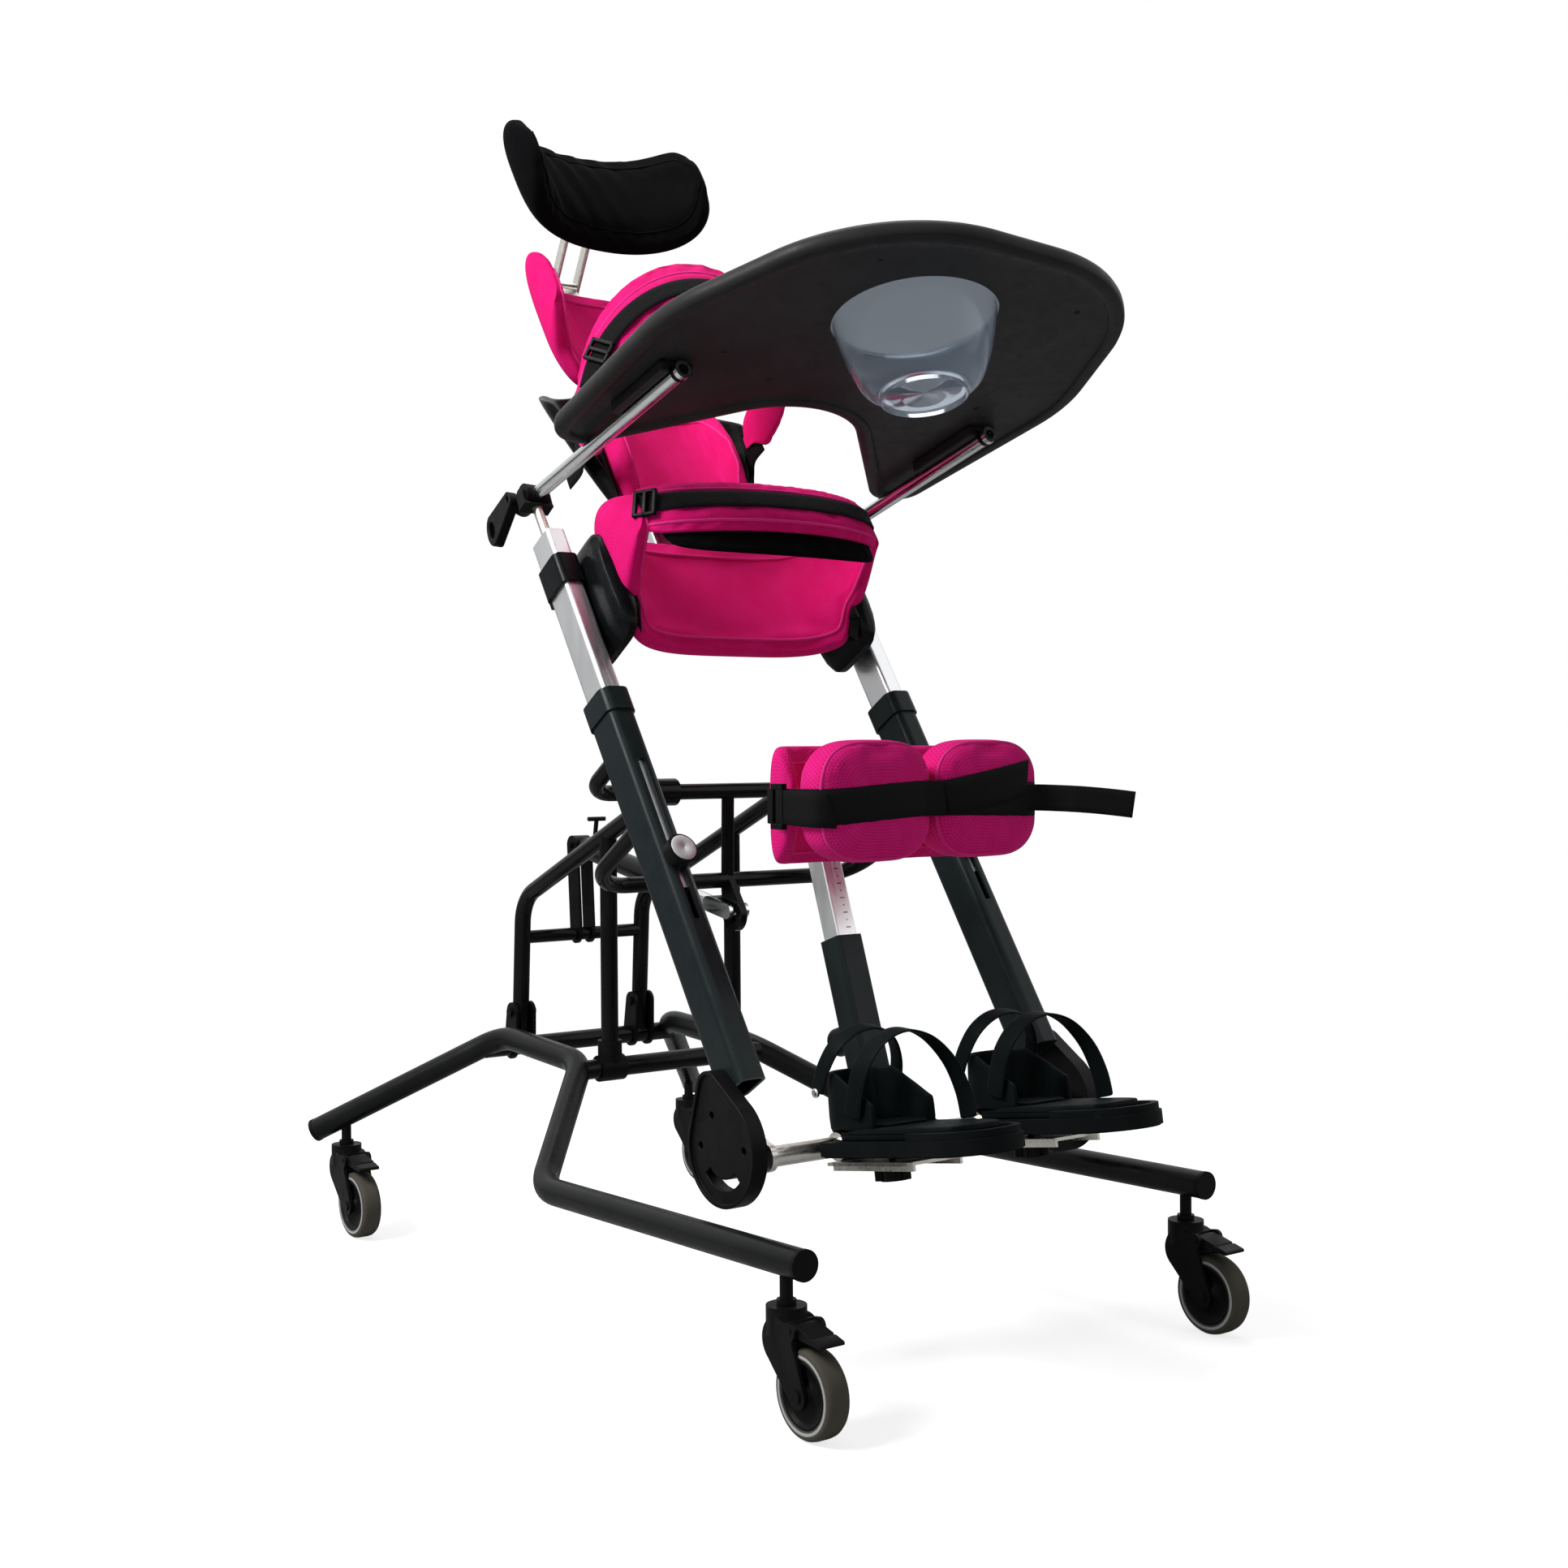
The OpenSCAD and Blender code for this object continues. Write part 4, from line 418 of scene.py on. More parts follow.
LOOKS = [
    (painted, "base_tube", (0.0055, 0.006, 0.0065), 0.30, (0.010, 0.0105, 0.011), 0.35),
    (painted, "black_tube", (0.004, 0.004, 0.0042), 0.18, (0.007, 0.007, 0.0074)),
    (painted, "green_tube", (0.010, 0.0155, 0.0165), 0.30, (0.015, 0.022, 0.023), 0.15),
    (moulded, "plastic", (0.004, 0.0042, 0.0046), 0.42, (0.0075, 0.0078, 0.0084)),
    (moulded, "shell", (0.004, 0.0045, 0.005), 0.26, (0.007, 0.0078, 0.009), 700),
    (moulded, "tray", (0.027, 0.0262, 0.0262), 0.40, (0.036, 0.035, 0.035), 240, 0.0007),
    (moulded, "sandal", (0.004, 0.0062, 0.0066), 0.52, (0.008, 0.0112, 0.0118), 620, 0.0009, 0.04),
    (moulded, "footplate", (0.0045, 0.0058, 0.0062), 0.52, (0.008, 0.0098, 0.0104), 1500, 0.0005, 0.04),
    (moulded, "tyre", (0.075, 0.069, 0.055), 0.62, (0.105, 0.098, 0.080), 800),
    (moulded, "cap", (0.62, 0.63, 0.64), 0.34, (0.70, 0.71, 0.72), 900, 0.0003, 0.4),
    (moulded, "ring", (0.42, 0.42, 0.43), 0.45, (0.52, 0.52, 0.53), 900),
    (metal, "alu", (0.80, 0.81, 0.82), 0.36, (6, 1, 0.15), (0.84, 0.85, 0.86)),
    (metal, "rod", (0.66, 0.68, 0.68), 0.17, (3, 0.4, 3), (0.80, 0.82, 0.83)),
    (metal, "zinc", (0.74, 0.72, 0.66), 0.30, (1, 3, 3), (0.86, 0.85, 0.80)),
    # In the pink cloths, the second colour is painted shade for the holes of the mesh.
    (mesh_cloth, "pink", (0.84, 0.008, 0.19), (0.44, 0.001, 0.065), (0.92, 0.018, 0.27), 0.0038, 0.6, 0.0007),
    (mesh_cloth, "pink_open", (0.86, 0.014, 0.235), (0.46, 0.002, 0.085), (0.92, 0.03, 0.31), 0.0046, 0.85,
     0.0011),
    # In the binding and webbing, the second colour is a painted highlight on the raised weave.
    (ribbed, "binding", (0.86, 0.02, 0.27), (0.93, 0.075, 0.36), 0.0022, 0.0005, 0.3),
    (ribbed, "webbing", (0.004, 0.004, 0.0045), (0.010, 0.010, 0.0108), 0.0030, 0.0006),
    # Black velour for the band inside the pelvic belt, which also stands for the shade there.
    (velour, "lining", (0.003, 0.003, 0.003), (0.006, 0.006, 0.006)),
    (velour, "velour", (0.0035, 0.0035, 0.004), (0.007, 0.007, 0.0076)),
    (clear_plastic, "bowl"),
    (moulded, "ink", (0.02, 0.02, 0.02), 0.6, (0.03, 0.03, 0.03)),
]
M = {name: make(name, *values) for make, name, *values in LOOKS}
NODE_LOOKS = {
    "base_tube": ["left_side_tube", "right_side_tube"],
    "black_tube": ["base_cross_tubes", "tower_tubes", "front_posts", "tower_brace", "pivot_bar", "lower_bar",
                   "actuator_body"],
    "green_tube": ["left_upright", "right_upright", "knee_post"],
    "alu": ["inner_tubes", "spine", "knee_tube"],
    "rod": ["tray_rods", "actuator_rod"],
    "zinc": ["foot_bar", "headrest_stem", "tray_stems"],
    "shell": ["pelvic_shell", "chest_shell"],
    "tray": ["tray"],
    "footplate": ["left_footplate", "right_footplate"],
    "sandal": ["left_sandal", "right_sandal"],
    "bowl": ["bowl"],
}
for look, names in NODE_LOOKS.items():
    for name in names:
        NODES[name]["look"] = look
for name, item in NODES.items():
    item.data.materials.clear()
    item.data.materials.append(M[item.get("look", "plastic")])


# Meshes

def new_object(name, mesh, look, body, slot):
    item = bpy.data.objects.new(name, mesh)
    bpy.context.scene.collection.objects.link(item)
    mesh.materials.append(M[look])
    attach(item, body)
    return item


def spow(value, power):
    return math.copysign(abs(value) ** power, value)


def smooth(mesh):
    mesh.polygons.foreach_set("use_smooth", [True] * len(mesh.polygons))


def grid(name, rows, matrix=None, ring=True, caps=True):
    """A mesh over rows of points, with a map in metres: along the rows, and round each row."""
    count = len(rows[0])
    points = [p for row in rows for p in row]
    along = [0.0]
    for a, b in zip(rows, rows[1:]):
        middle = sum(((q - p).length for p, q in zip(a, b))) / count
        along.append(along[-1] + middle)
    widest = max(rows, key=lambda row: sum((q - p).length for p, q in zip(row, row[1:])))
    around = [0.0]
    for p, q in zip(widest, widest[1:] + widest[:1]):
        around.append(around[-1] + (q - p).length)
    faces, maps = [], []
    for i in range(len(rows) - 1):
        for j in range(count if ring else count - 1):
            k = (j + 1) % count
            faces.append((i * count + j, (i + 1) * count + j, (i + 1) * count + k, i * count + k))
            maps.append([(along[i], around[j]), (along[i + 1], around[j]), (along[i + 1], around[j + 1]),
                         (along[i], around[j + 1])])
    if caps:
        for i, flip in ((0, False), (len(rows) - 1, True)):
            centre = len(points)
            points.append(sum(rows[i], Vector()) / count)
            for j in range(count):
                k = (j + 1) % count
                face = (i * count + j, i * count + k, centre)
                mapped = [(along[i], around[j]), (along[i], around[j + 1]), (along[i], around[j])]
                faces.append(face[::-1] if flip else face)
                maps.append(mapped[::-1] if flip else mapped)
    mesh = bpy.data.meshes.new(name)
    mesh.from_pydata([tuple(p) for p in points], [], faces)
    scale = matrix.to_scale()[0] if matrix else 1.0
    layer = mesh.uv_layers.new(name="map")
    layer.data.foreach_set("uv", [c * scale for m in maps for uv in m for c in uv])
    if matrix:
        mesh.transform(matrix)
    smooth(mesh)
    return mesh


def spaced(values, points, count):
    """Values at even distances along the points that they belong to."""
    marks = [0.0]
    for a, b in zip(points, points[1:]):
        marks.append(marks[-1] + (b - a).length)
    out, k = [], 0
    for i in range(count):
        want = marks[-1] * i / (count - 1)
        while k < len(points) - 2 and marks[k + 1] < want:
            k += 1
        span = marks[k + 1] - marks[k]
        out.append(values[k] + (values[k + 1] - values[k]) * ((want - marks[k]) / span if span else 0))
    return out


def resample(path, count):
    """Evenly spaced points along a path."""
    return spaced(path, path, count)


def path_length(path):
    return sum((b - a).length for a, b in zip(path, path[1:]))


def curve_through(points, count):
    """A smooth path through a few points."""
    fine, last = [], len(points) - 1
    for i in range(last):
        p = [points[min(max(i + k, 0), last)] for k in (-1, 0, 1, 2)]
        for j in range(12):
            t = j / 12
            fine.append(0.5 * ((2 * p[1]) + (p[2] - p[0]) * t
                               + (2 * p[0] - 5 * p[1] + 4 * p[2] - p[3]) * t * t
                               + (3 * p[1] - p[0] - 3 * p[2] + p[3]) * t ** 3))
    fine.append(points[-1])
    return resample(fine, count)


CORD_SIDES = 8


def closed_cord(name, path, radius):
    """A round cord along a closed path."""
    rows, side = [], None
    for i, p in enumerate(path):
        d = (path[(i + 1) % len(path)] - path[i - 1]).normalized()
        if side is None:
            side = d.orthogonal().normalized()
        side = (side - d * side.dot(d)).normalized()
        up = d.cross(side)
        rows.append([p + radius * (side * math.cos(a) + up * math.sin(a))
                     for a in (2 * math.pi * j / CORD_SIDES for j in range(CORD_SIDES))])
    return grid(name, rows + rows[:1], caps=False)


def strip(name, path, ups, width, thick, matrix=None, bulge=0.0, slant=0.0):
    """A flat band with soft edges, whose width runs along the given directions; its end may be slanted."""
    rows = []
    n = len(path)
    for i, p in enumerate(path):
        d = (path[min(n - 1, i + 1)] - path[max(0, i - 1)]).normalized()
        up = (ups[i] - d * ups[i].dot(d)).normalized()
        out = d.cross(up)
        half, t = width / 2, thick / 2
        w = [(-half, 0), (-half + t, -t), (-half / 2, -t), (0, -t), (half / 2, -t), (half - t, -t), (half, 0),
             (half - t, t), (half / 2, t + bulge), (0, t + bulge), (-half / 2, t + bulge), (-half + t, t)]
        skew = slant * max(0.0, 1 - (n - 1 - i) / 10) ** 2
        rows.append([p + (up + d * skew) * a + out * b for a, b in w])
    return grid(name, rows, matrix)


def lathe(name, profile, sides, matrix):
    """A closed profile of (radius, height) turned about Z."""
    rows = [[Vector((r * math.cos(a), r * math.sin(a), z)) for r, z in profile + profile[:1]]
            for a in (2 * math.pi * i / sides for i in range(sides + 1))]
    mesh = grid(name, rows, matrix, ring=False, caps=False)
    tidy = bmesh.new()
    tidy.from_mesh(mesh)
    bmesh.ops.remove_doubles(tidy, verts=tidy.verts, dist=1e-6)
    bmesh.ops.recalc_face_normals(tidy, faces=tidy.faces)
    tidy.to_mesh(mesh)
    tidy.free()
    return mesh


def turned(name, profile, sides, place, look, body, slot):
    return new_object(name, lathe(name, profile, sides, place), look, body, slot)


def placed_mesh(name, work, place):
    mesh = bpy.data.meshes.new(name)
    work.to_mesh(mesh)
    work.free()
    mesh.transform(place)
    return mesh


def box_mesh(name, boxes, place):
    """Boxes between low and high corners, in one mesh."""
    work = bmesh.new()
    for low, high in boxes:
        for v in bmesh.ops.create_cube(work, size=1.0)["verts"]:
            v.co = Vector([(lo + hi) / 2 + c * (hi - lo) for lo, hi, c in zip(low, high, v.co)])
    return placed_mesh(name, work, place)


def bevel(item, width, segments=2, angle=30):
    """Eases an object's edges by a width in millimetres."""
    ease = item.modifiers.new("ease", "BEVEL")
    ease.width = width * MM
    ease.segments = segments
    ease.limit_method = "ANGLE"
    ease.angle_limit = math.radians(angle)


def edged(node, look, width, slot, segments, change, paint):
    """A copy of a moulded node with eased edges, which stands for it; a test may paint some faces black."""
    source = NODES[node]
    mesh = source.data.copy()
    mesh.name = node + "_eased"
    mesh.materials.clear()
    work = bmesh.new()
    work.from_mesh(mesh)
    bmesh.ops.remove_doubles(work, verts=work.verts, dist=2e-5)
    bmesh.ops.dissolve_limit(work, angle_limit=math.radians(0.6), verts=work.verts, edges=work.edges)
    if change:
        for v in work.verts:
            v.co = change(v.co)
    work.to_mesh(mesh)
    work.free()
    item = new_object(node + "_eased", mesh, look, source["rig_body"], slot)
    if paint:
        mesh.materials.append(M["plastic"])
        for face in mesh.polygons:
            face.material_index = 1 if paint(face.center) else 0
    bevel(item, width, segments, 34)
    smooth(mesh)
    item.data.set_sharp_from_angle(angle=math.radians(32))
    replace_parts(item, node)


PUFF_FRAMES = 14


def puff(item, pinned, pressure, grow, cap):
    """Blows a cover up from the inside with cloth, holding its seams, and keeps the result."""
    mesh = item.data
    group = item.vertex_groups.new(name="seams")
    group.add(pinned, 1.0, "REPLACE")
    cloth = item.modifiers.new("cloth", "CLOTH")
    s = cloth.settings
    s.quality = 6
    s.mass = 0.3
    s.use_pressure = True
    s.uniform_pressure_force = pressure
    s.shrink_min = -grow
    s.vertex_group_mass = "seams"
    s.tension_stiffness = 18
    s.compression_stiffness = 18
    s.shear_stiffness = 8
    s.bending_stiffness = 0.6
    s.effector_weights.gravity = 0
    cloth.point_cache.frame_start = 1
    cloth.point_cache.frame_end = PUFF_FRAMES
    scene = bpy.context.scene
    for f in range(1, PUFF_FRAMES + 1):
        scene.frame_set(f)
    graph = bpy.context.evaluated_depsgraph_get()
    moved = [v.co.copy() for v in item.evaluated_get(graph).data.vertices]
    item.modifiers.remove(cloth)
    for v, q in zip(mesh.vertices, moved):
        move = q - v.co
        if move.length > cap:
            move *= cap / move.length
        v.co += move
    scene.frame_set(1)
    item.vertex_groups.clear()


def finer(item):
    """Rounds a mesh off by one level of subdivision."""
    m = item.modifiers.new("finer", "SUBSURF")
    m.levels = m.render_levels = 1


def piping(item, name, line, count, radius, look, body, slot):
    """A cord along a closed seam, which goes with its cover."""
    path = resample(line + line[:1], count)[:-1]
    edge = new_object(name, closed_cord(name, path, radius * MM), look, body, slot)
    edge.parent = item
    edge.matrix_parent_inverse = item.matrix_world.inverted()


# Padded bands

SQUARE = 0.62
RING = 36
STATIONS = 64
PRESSURE = 2.5
FINE = 400


def u_path(w, reach, square=SQUARE):
    """A U in plan, from its left end round the back to its right end, for t from -1 to 1."""
    def point(t):
        return Vector((w * spow(math.sin(math.pi / 2 * t), square),
                       -reach * (1 - max(0.0, math.cos(math.pi / 2 * t)) ** square), 0))
    return point


ARCH = 0.7


def belt_path(w, reach, tail, rise):
    """An arch to the front with a straight tail at each end, for t from -1 to 1."""
    def point(t):
        side = math.copysign(1, t)
        if abs(t) < ARCH:
            a = math.pi / 2 * abs(t) / ARCH
            return Vector((side * w * math.sin(a), -reach * math.cos(a), rise * math.cos(a)))
        return Vector((side * w, tail * (abs(t) - ARCH) / (1 - ARCH), 0))
    return point


def taper(t, least):
    return least + (1 - least) * math.sqrt(max(0.0, 1 - abs(t) ** 6))


def even_shares(path, first, last, count):
    """Shares along a path that lie evenly spaced."""
    fine = [first + (last - first) * i / FINE for i in range(FINE + 1)]
    return spaced(fine, [path(t) for t in fine], count)


def side_of(path, t):
    """The level direction that points to the left of a path."""
    d = path(min(1, t + 0.012)) - path(max(-1, t - 0.012))
    return Vector((-d.y, d.x, 0)).normalized()


def band_rows(path, thick, high, dip, least, first=-1.0, last=1.0, power=SQUARE, shape=None):
    """Rings along a path, evenly spaced and closed by round ends."""
    rows = []
    for t in even_shares(path, first, last, STATIONS):
        way = 2 * (t - first) / (last - first) - 1
        p, side = path(t), side_of(path, t)
        half_t = thick / 2 * taper(way, least)
        half_h = high / 2 * (1 - dip * way * way) * taper(way, least)
        row = []
        for j in range(RING):
            a = 2 * math.pi * (j + 0.5) / RING
            q = Vector((spow(math.cos(a), power), spow(math.sin(a), power)))
            out, lift = shape(way, q) if shape else (0.0, 0.0)
            row.append(p + side * (q.x * half_t + out) + Vector((0, 0, q.y * half_h + lift)))
        rows.append(row)
    ends = []
    for row, near in ((rows[0], rows[1]), (rows[-1], rows[-2])):
        middle = sum(row, Vector()) / RING
        out = (middle - sum(near, Vector()) / RING).normalized()
        reach_out = thick / 2 * least * 0.9
        ends.append([[middle + (q - middle) * math.cos(b) + out * reach_out * math.sin(b) for q in row]
                     for b in map(math.radians, (30, 58, 78))])
    return ends[0][::-1] + rows + ends[1]


def band_pad(name, node, body, look, slot, place, rows, grow=0.012, cap=3.0, pipe=2.1, seam=0.30,
             binding="binding", fill=0.7):
    """A padded band with a piped seam round its shown face, which stands for a node; rows in millimetres."""
    mesh = grid(name, rows, place)
    item = new_object(name, mesh, look, body, slot)
    total = len(rows)
    top = round(RING * (0.25 + seam / 2)) % RING
    low = round(RING * (0.75 - seam / 2)) % RING
    held = [i * RING + j for i in range(total) for j in range(RING)
            if math.cos(2 * math.pi * (j + 0.5) / RING) > -0.1 or j in (top, low)]
    held += [i * RING + j for i in (0, 1, 2, total - 3, total - 2, total - 1) for j in range(RING)]
    held += list(range(total * RING, len(mesh.vertices)))
    puff(item, sorted(set(held)), PRESSURE, grow, cap * MM)
    v = mesh.vertices
    between = list(range(top, low + 1))
    loop = [v[i * RING + top].co.copy() for i in range(2, total - 2)]
    loop += [v[(total - 2) * RING + j].co.copy() for j in between]
    loop += [v[i * RING + low].co.copy() for i in range(total - 3, 1, -1)]
    loop += [v[1 * RING + j].co.copy() for j in reversed(between)]
    finer(item)
    if node:
        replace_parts(item, node)
    if pipe:
        piping(item, name + "_piping", loop, 260, pipe, binding, body, slot)


def lean_place(at):
    return lean_matrix() @ Matrix.Translation(at)


def step(value, low, high):
    """Rises smoothly from 0 at low to 1 at high."""
    k = min(1.0, max(0.0, (value - low) / (high - low)))
    return k * k * (3 - 2 * k)


def winged(start, full, cut, more, rise, base=0.0):
    """Wings whose lower edge is cut away: up by a cut past the corner, and by more towards the end."""
    def shape(way, q):
        t = abs(way)
        lift = base
        if q.y < 0:
            lift -= q.y * (cut * step(t, start, full) + more * step(t, full, 1.0))
        else:
            lift += q.y * rise * step(t, start, 1.0)
        return 0.0, lift
    return shape


PAD_T = 34.0
UPPER = ("upper_frame", "pink", "pink_mesh")
CHEST = ("chest_support", "pink", "pink_mesh")
band_pad("pelvic_cushion", "pelvic_pad", *UPPER, lean_place(lean_at(0, 2, 157)),
         band_rows(u_path(196, 146, 0.5), PAD_T, 190, 0.06, 0.40, shape=winged(0.56, 0.80, 34, 6, 22, 16)))
band_pad("chest_cushion", "chest_pad", *CHEST, lean_place(lean_at(0, 0, 414)),
         band_rows(u_path(98, 50), PAD_T, 232, 0.0, 0.40))


def shell_form(way, q):
    """Wide at the top of both sides, high at the back corners, and dropping towards the front ends."""
    front = step(abs(way), 0.45, 1.0)
    lift = 40 * front - 24 if q.y < 0 else 30 - 50 * front
    return 24 * q.y * step(abs(way), 0.1, 0.45), q.y * lift


side_shell = grid("chest_side_shell", band_rows(u_path(144, 66, 0.7), 9, 230, 0.0, 0.6, shape=shell_form),
                  lean_place(lean_at(0, -39, 440)))
new_object("chest_side_shell", side_shell, "shell", "chest_support", "black_plastic")
band_pad("upper_back_cushion", "upper_back_pad", *CHEST, lean_place(lean_at(0, 0, 657)),
         band_rows(u_path(134, 80), PAD_T, 190, 0.0, 0.45, shape=winged(0.35, 0.8, 40, 10, 44, 0)))


def head_wrinkles(way, q):
    """Diagonal folds that run over the inside of the headrest."""
    inner = max(0.0, -q.x)
    fold = math.sin(30 * way + 4 * q.y + 1.5 * math.sin(9 * way))
    return -1.6 * inner * fold * math.exp(-((way + 0.35) / 0.5) ** 2), 0.0


HEAD_HINGE, HEAD_HOLD = lean_at(0, -63, 838), lean_at(0, 34, 890)
EAR_UP = Vector((0, HEAD_HINGE.z - HEAD_HOLD.z, HEAD_HOLD.y - HEAD_HINGE.y))
EAR_LINE = [HEAD_HINGE.lerp(HEAD_HOLD, i / 4) for i in range(-1, 6)]
PLATE_LINE = [lean_at(0, 42.5, s) for s in (852, 870, 890, 910, 928)]


def head_strip(name, line, across, width):
    """A flat bar of the headrest's holder."""
    mesh = strip(name, line, [across] * len(line), width, 6, lean_matrix())
    new_object(name, mesh, "zinc", "headrest", "steel")


for x, hand in ((-20, "right"), (20, "left")):
    head_strip("headrest_ear_" + hand, [q + Vector((x, 0, 0)) for q in EAR_LINE], EAR_UP, 22)
head_strip("headrest_plate", PLATE_LINE, Vector((1, 0, 0)), 100)
band_pad("headrest_cushion", "headrest_pad", "headrest", "velour", "black_fabric",
         lean_place(lean_at(0, 70, 890)),
         band_rows(u_path(148, 88, 0.9), 48, 190, 0.12, 0.50, shape=head_wrinkles, power=0.72), pipe=1.6,
         binding="velour", cap=4.0, grow=0.03)


# Straps and buckles

WEB_T = 2.4
WEB_W = 27


def webbing_strip(name, body, line, width, node=None, slant=0.0, up=UP,
                  place=ROW):
    """A strap of webbing along points in millimetres, which may stand for a node."""
    mesh = strip(name, line, [up] * len(line), width, WEB_T, place, 0.0, slant)
    item = new_object(name, mesh, "webbing", body, "webbing")
    path_length(line) * MM
    if node:
        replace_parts(item, node)


def strap_on(name, body, place, path, first, last, out, up):
    """A webbing strap along a belt's path, set out from it by a distance and up by a function."""
    line = [path(t) - side_of(path, t) * out + UP * up(t) for t in even_shares(path, first, last, 60)]
    webbing_strip(name, body, line, WEB_W, place=place)


def ladder_buckle(name, body, place, centre, along, up, width, height, thick):
    """A buckle of three bars in a frame, about a centre."""
    along = along.normalized()
    up = (up - along * up.dot(along)).normalized()
    bar = height * 0.13
    parts = [(0, height / 2 - bar / 2, width, bar), (0, bar / 2 - height / 2, width, bar)]
    parts += [(x, 0, width * 0.17, height) for x in (-width * 0.415, 0, width * 0.415)]
    boxes = [((x - w / 2, -thick / 2, z - h / 2), (x + w / 2, thick / 2, z + h / 2)) for x, z, w, h in parts]
    way = Matrix((along, up.cross(along), up)).transposed().to_4x4()
    mesh = box_mesh(name, boxes, place @ Matrix.Translation(centre) @ way)
    bevel(new_object(name, mesh, "plastic", body, "black_plastic"), 1.2)


BELT_T = 16.0
pelvic_place = lean_place(lean_at(0, 140, 190))


def sagging(drop, low):
    """A band that hangs lower in the middle than at its ends."""
    def shape(way, q):
        return 0.0, low - drop * (1 - way * way)
    return shape


PELVIC_SAG = 38.0
PELVIC_UP = 24.0
PELVIC_END = 0.76
PELVIC_SPAN = belt_path(186, 62, 50, 4)
band_pad("pelvic_belt_band", "pelvic_belt", *UPPER, pelvic_place,
         band_rows(PELVIC_SPAN, BELT_T, 80, 0.0, 0.55, -PELVIC_END, PELVIC_END,
                   shape=sagging(PELVIC_SAG, PELVIC_UP)),
         cap=3.5, grow=0.03, seam=0.34)
# A black band, hung lower than the belt and inside it: partly the belt's black inner face, partly a dark sheet
# that stands for the shade inside the pad under the belt.
band_pad("pelvic_black_band_and_shade", None, "upper_frame", "lining", "black_fabric", pelvic_place,
         band_rows(belt_path(176, 50, 50, 4), 9, 44, 0.0, 0.5, -0.60, 0.64,
                   shape=sagging(PELVIC_SAG, PELVIC_UP - 50)),
         cap=1.0, pipe=0, fill=0.3)


def pelvic_lift(t):
    return PELVIC_UP + 4 - PELVIC_SAG * (1 - (t / PELVIC_END) ** 2)


strap_on("pelvic_strap", "upper_frame", pelvic_place, PELVIC_SPAN, -0.70, PELVIC_END - 0.02, 11.8,
         pelvic_lift)


def buckle_on(name, body, place, path, t, out, up, size):
    """A buckle on a belt's strap, turned along it."""
    along = path(t + 0.02) - path(t - 0.02)
    along.z += up(t + 0.02) - up(t - 0.02)
    ladder_buckle(name, body, place, path(t) - side_of(path, t) * out + UP * up(t), along, UP, *size)


BUCKLE = (34, 38, 7)
buckle_on("pelvic_buckle", "upper_frame", pelvic_place, PELVIC_SPAN, -0.60, 15, pelvic_lift, BUCKLE)
CHEST_SPAN = belt_path(184.1, 128, 34, 142)
CHEST_LOW = -26.0
chest_place = lean_place(lean_at(0, 106, 426))


def chest_belt_path(t):
    """The chest belt's path, drawn in towards the pad along the far side."""
    q = CHEST_SPAN(t)
    q.x *= 1 - 0.40 * step(t, 0.1, 0.72)
    return q


def chest_lift(_):
    return CHEST_LOW + 6


def chest_form(way, q):
    """Wide over the chest, and narrower where it runs back along the far side."""
    return 0.0, CHEST_LOW + max(0.0, -q.y) * 58 * step(way, 0.45, 0.85)


band_pad("chest_belt_band", "chest_belt", *CHEST, chest_place,
         band_rows(chest_belt_path, BELT_T, 118, 0.0, 0.45, shape=chest_form), cap=4.5, grow=0.04, seam=0.34)
strap_on("chest_strap", "chest_support", chest_place, chest_belt_path, -0.62, 0.62, 12.4, chest_lift)
buckle_on("chest_buckle", "chest_support", chest_place, chest_belt_path, -0.5, 15.4, chest_lift, BUCKLE)


# Knee cushions

KNEE = ("knee_support", "pink_open", "pink_mesh")
KNEE_Z = 684.0
KNEE_X = 90.0
KNEE_Y = -393.0
STRAP_HALF = 23.0
AROUND = 72
ACROSS = 26
RIMS = (11, 21)


def cushion_mesh(name, half_w, half_t, half_h, centre):
    """A rounded box of cloth round a foam block, with a flat side band between two piped rims."""
    rows = []
    turns = [math.pi * (i / ACROSS - 0.5) for i in range(1, ACROSS)]
    sections = [(0.10, -1.0), (0.20, -1.0), (0.31, -1.0)]
    sections += [(abs(math.cos(b)) ** 0.42, spow(math.sin(b), 0.55)) for b in turns]
    for rim, face in sections:
        row = []
        for j in range(AROUND):
            a = 2 * math.pi * j / AROUND
            x, z = spow(math.cos(a), 0.52), spow(math.sin(a), 0.52)
            y = half_t * face * (1 - 0.16 * (x * rim) ** 2 - 0.10 * (z * rim) ** 2)
            wide = half_w * rim * (1 - 0.10 * abs(z * rim) ** 3)
            tall = half_h * rim * (1 - 0.06 * abs(x * rim) ** 3)
            point = Vector((x * wide, y, z * tall))
            if y < 0:
                pull = max(0.0, 1 - (abs(point.z) / (STRAP_HALF * 1.5)) ** 2)
                point.y += 5.0 * pull * (1 - 0.6 * (x * rim) ** 4)
            row.append(centre + point)
        rows.append(row)
    return grid(name, rows, ROW)


def knee_cushion(side, hand):
    """A front cushion that the strap crosses, with a piped rim on both sides."""
    name = hand + "_knee_cushion"
    body, look, slot = KNEE
    mesh = cushion_mesh(name, 88, 37, 75, Vector((side * KNEE_X, KNEE_Y, KNEE_Z)))
    item = new_object(name, mesh, look, body, slot)
    v = mesh.vertices
    held = [i * AROUND + j for i in range(RIMS[0], RIMS[1] + 1) for j in range(AROUND)]
    held += [p.index for p in v if p.co.y < KNEE_Y * MM and abs(p.co.z - KNEE_Z * MM) < STRAP_HALF * MM]
    puff(item, sorted(set(held)), 3.0, 0.02, 4 * MM)
    lines = [[v[i * AROUND + j].co.copy() for j in range(AROUND)] for i in RIMS]
    finer(item)
    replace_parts(item, "knee_front_pads")
    for k, line in enumerate(lines):
        piping(item, name + "_piping_" + str(k), line, 160, 2.2, "binding", body, slot)
    return item


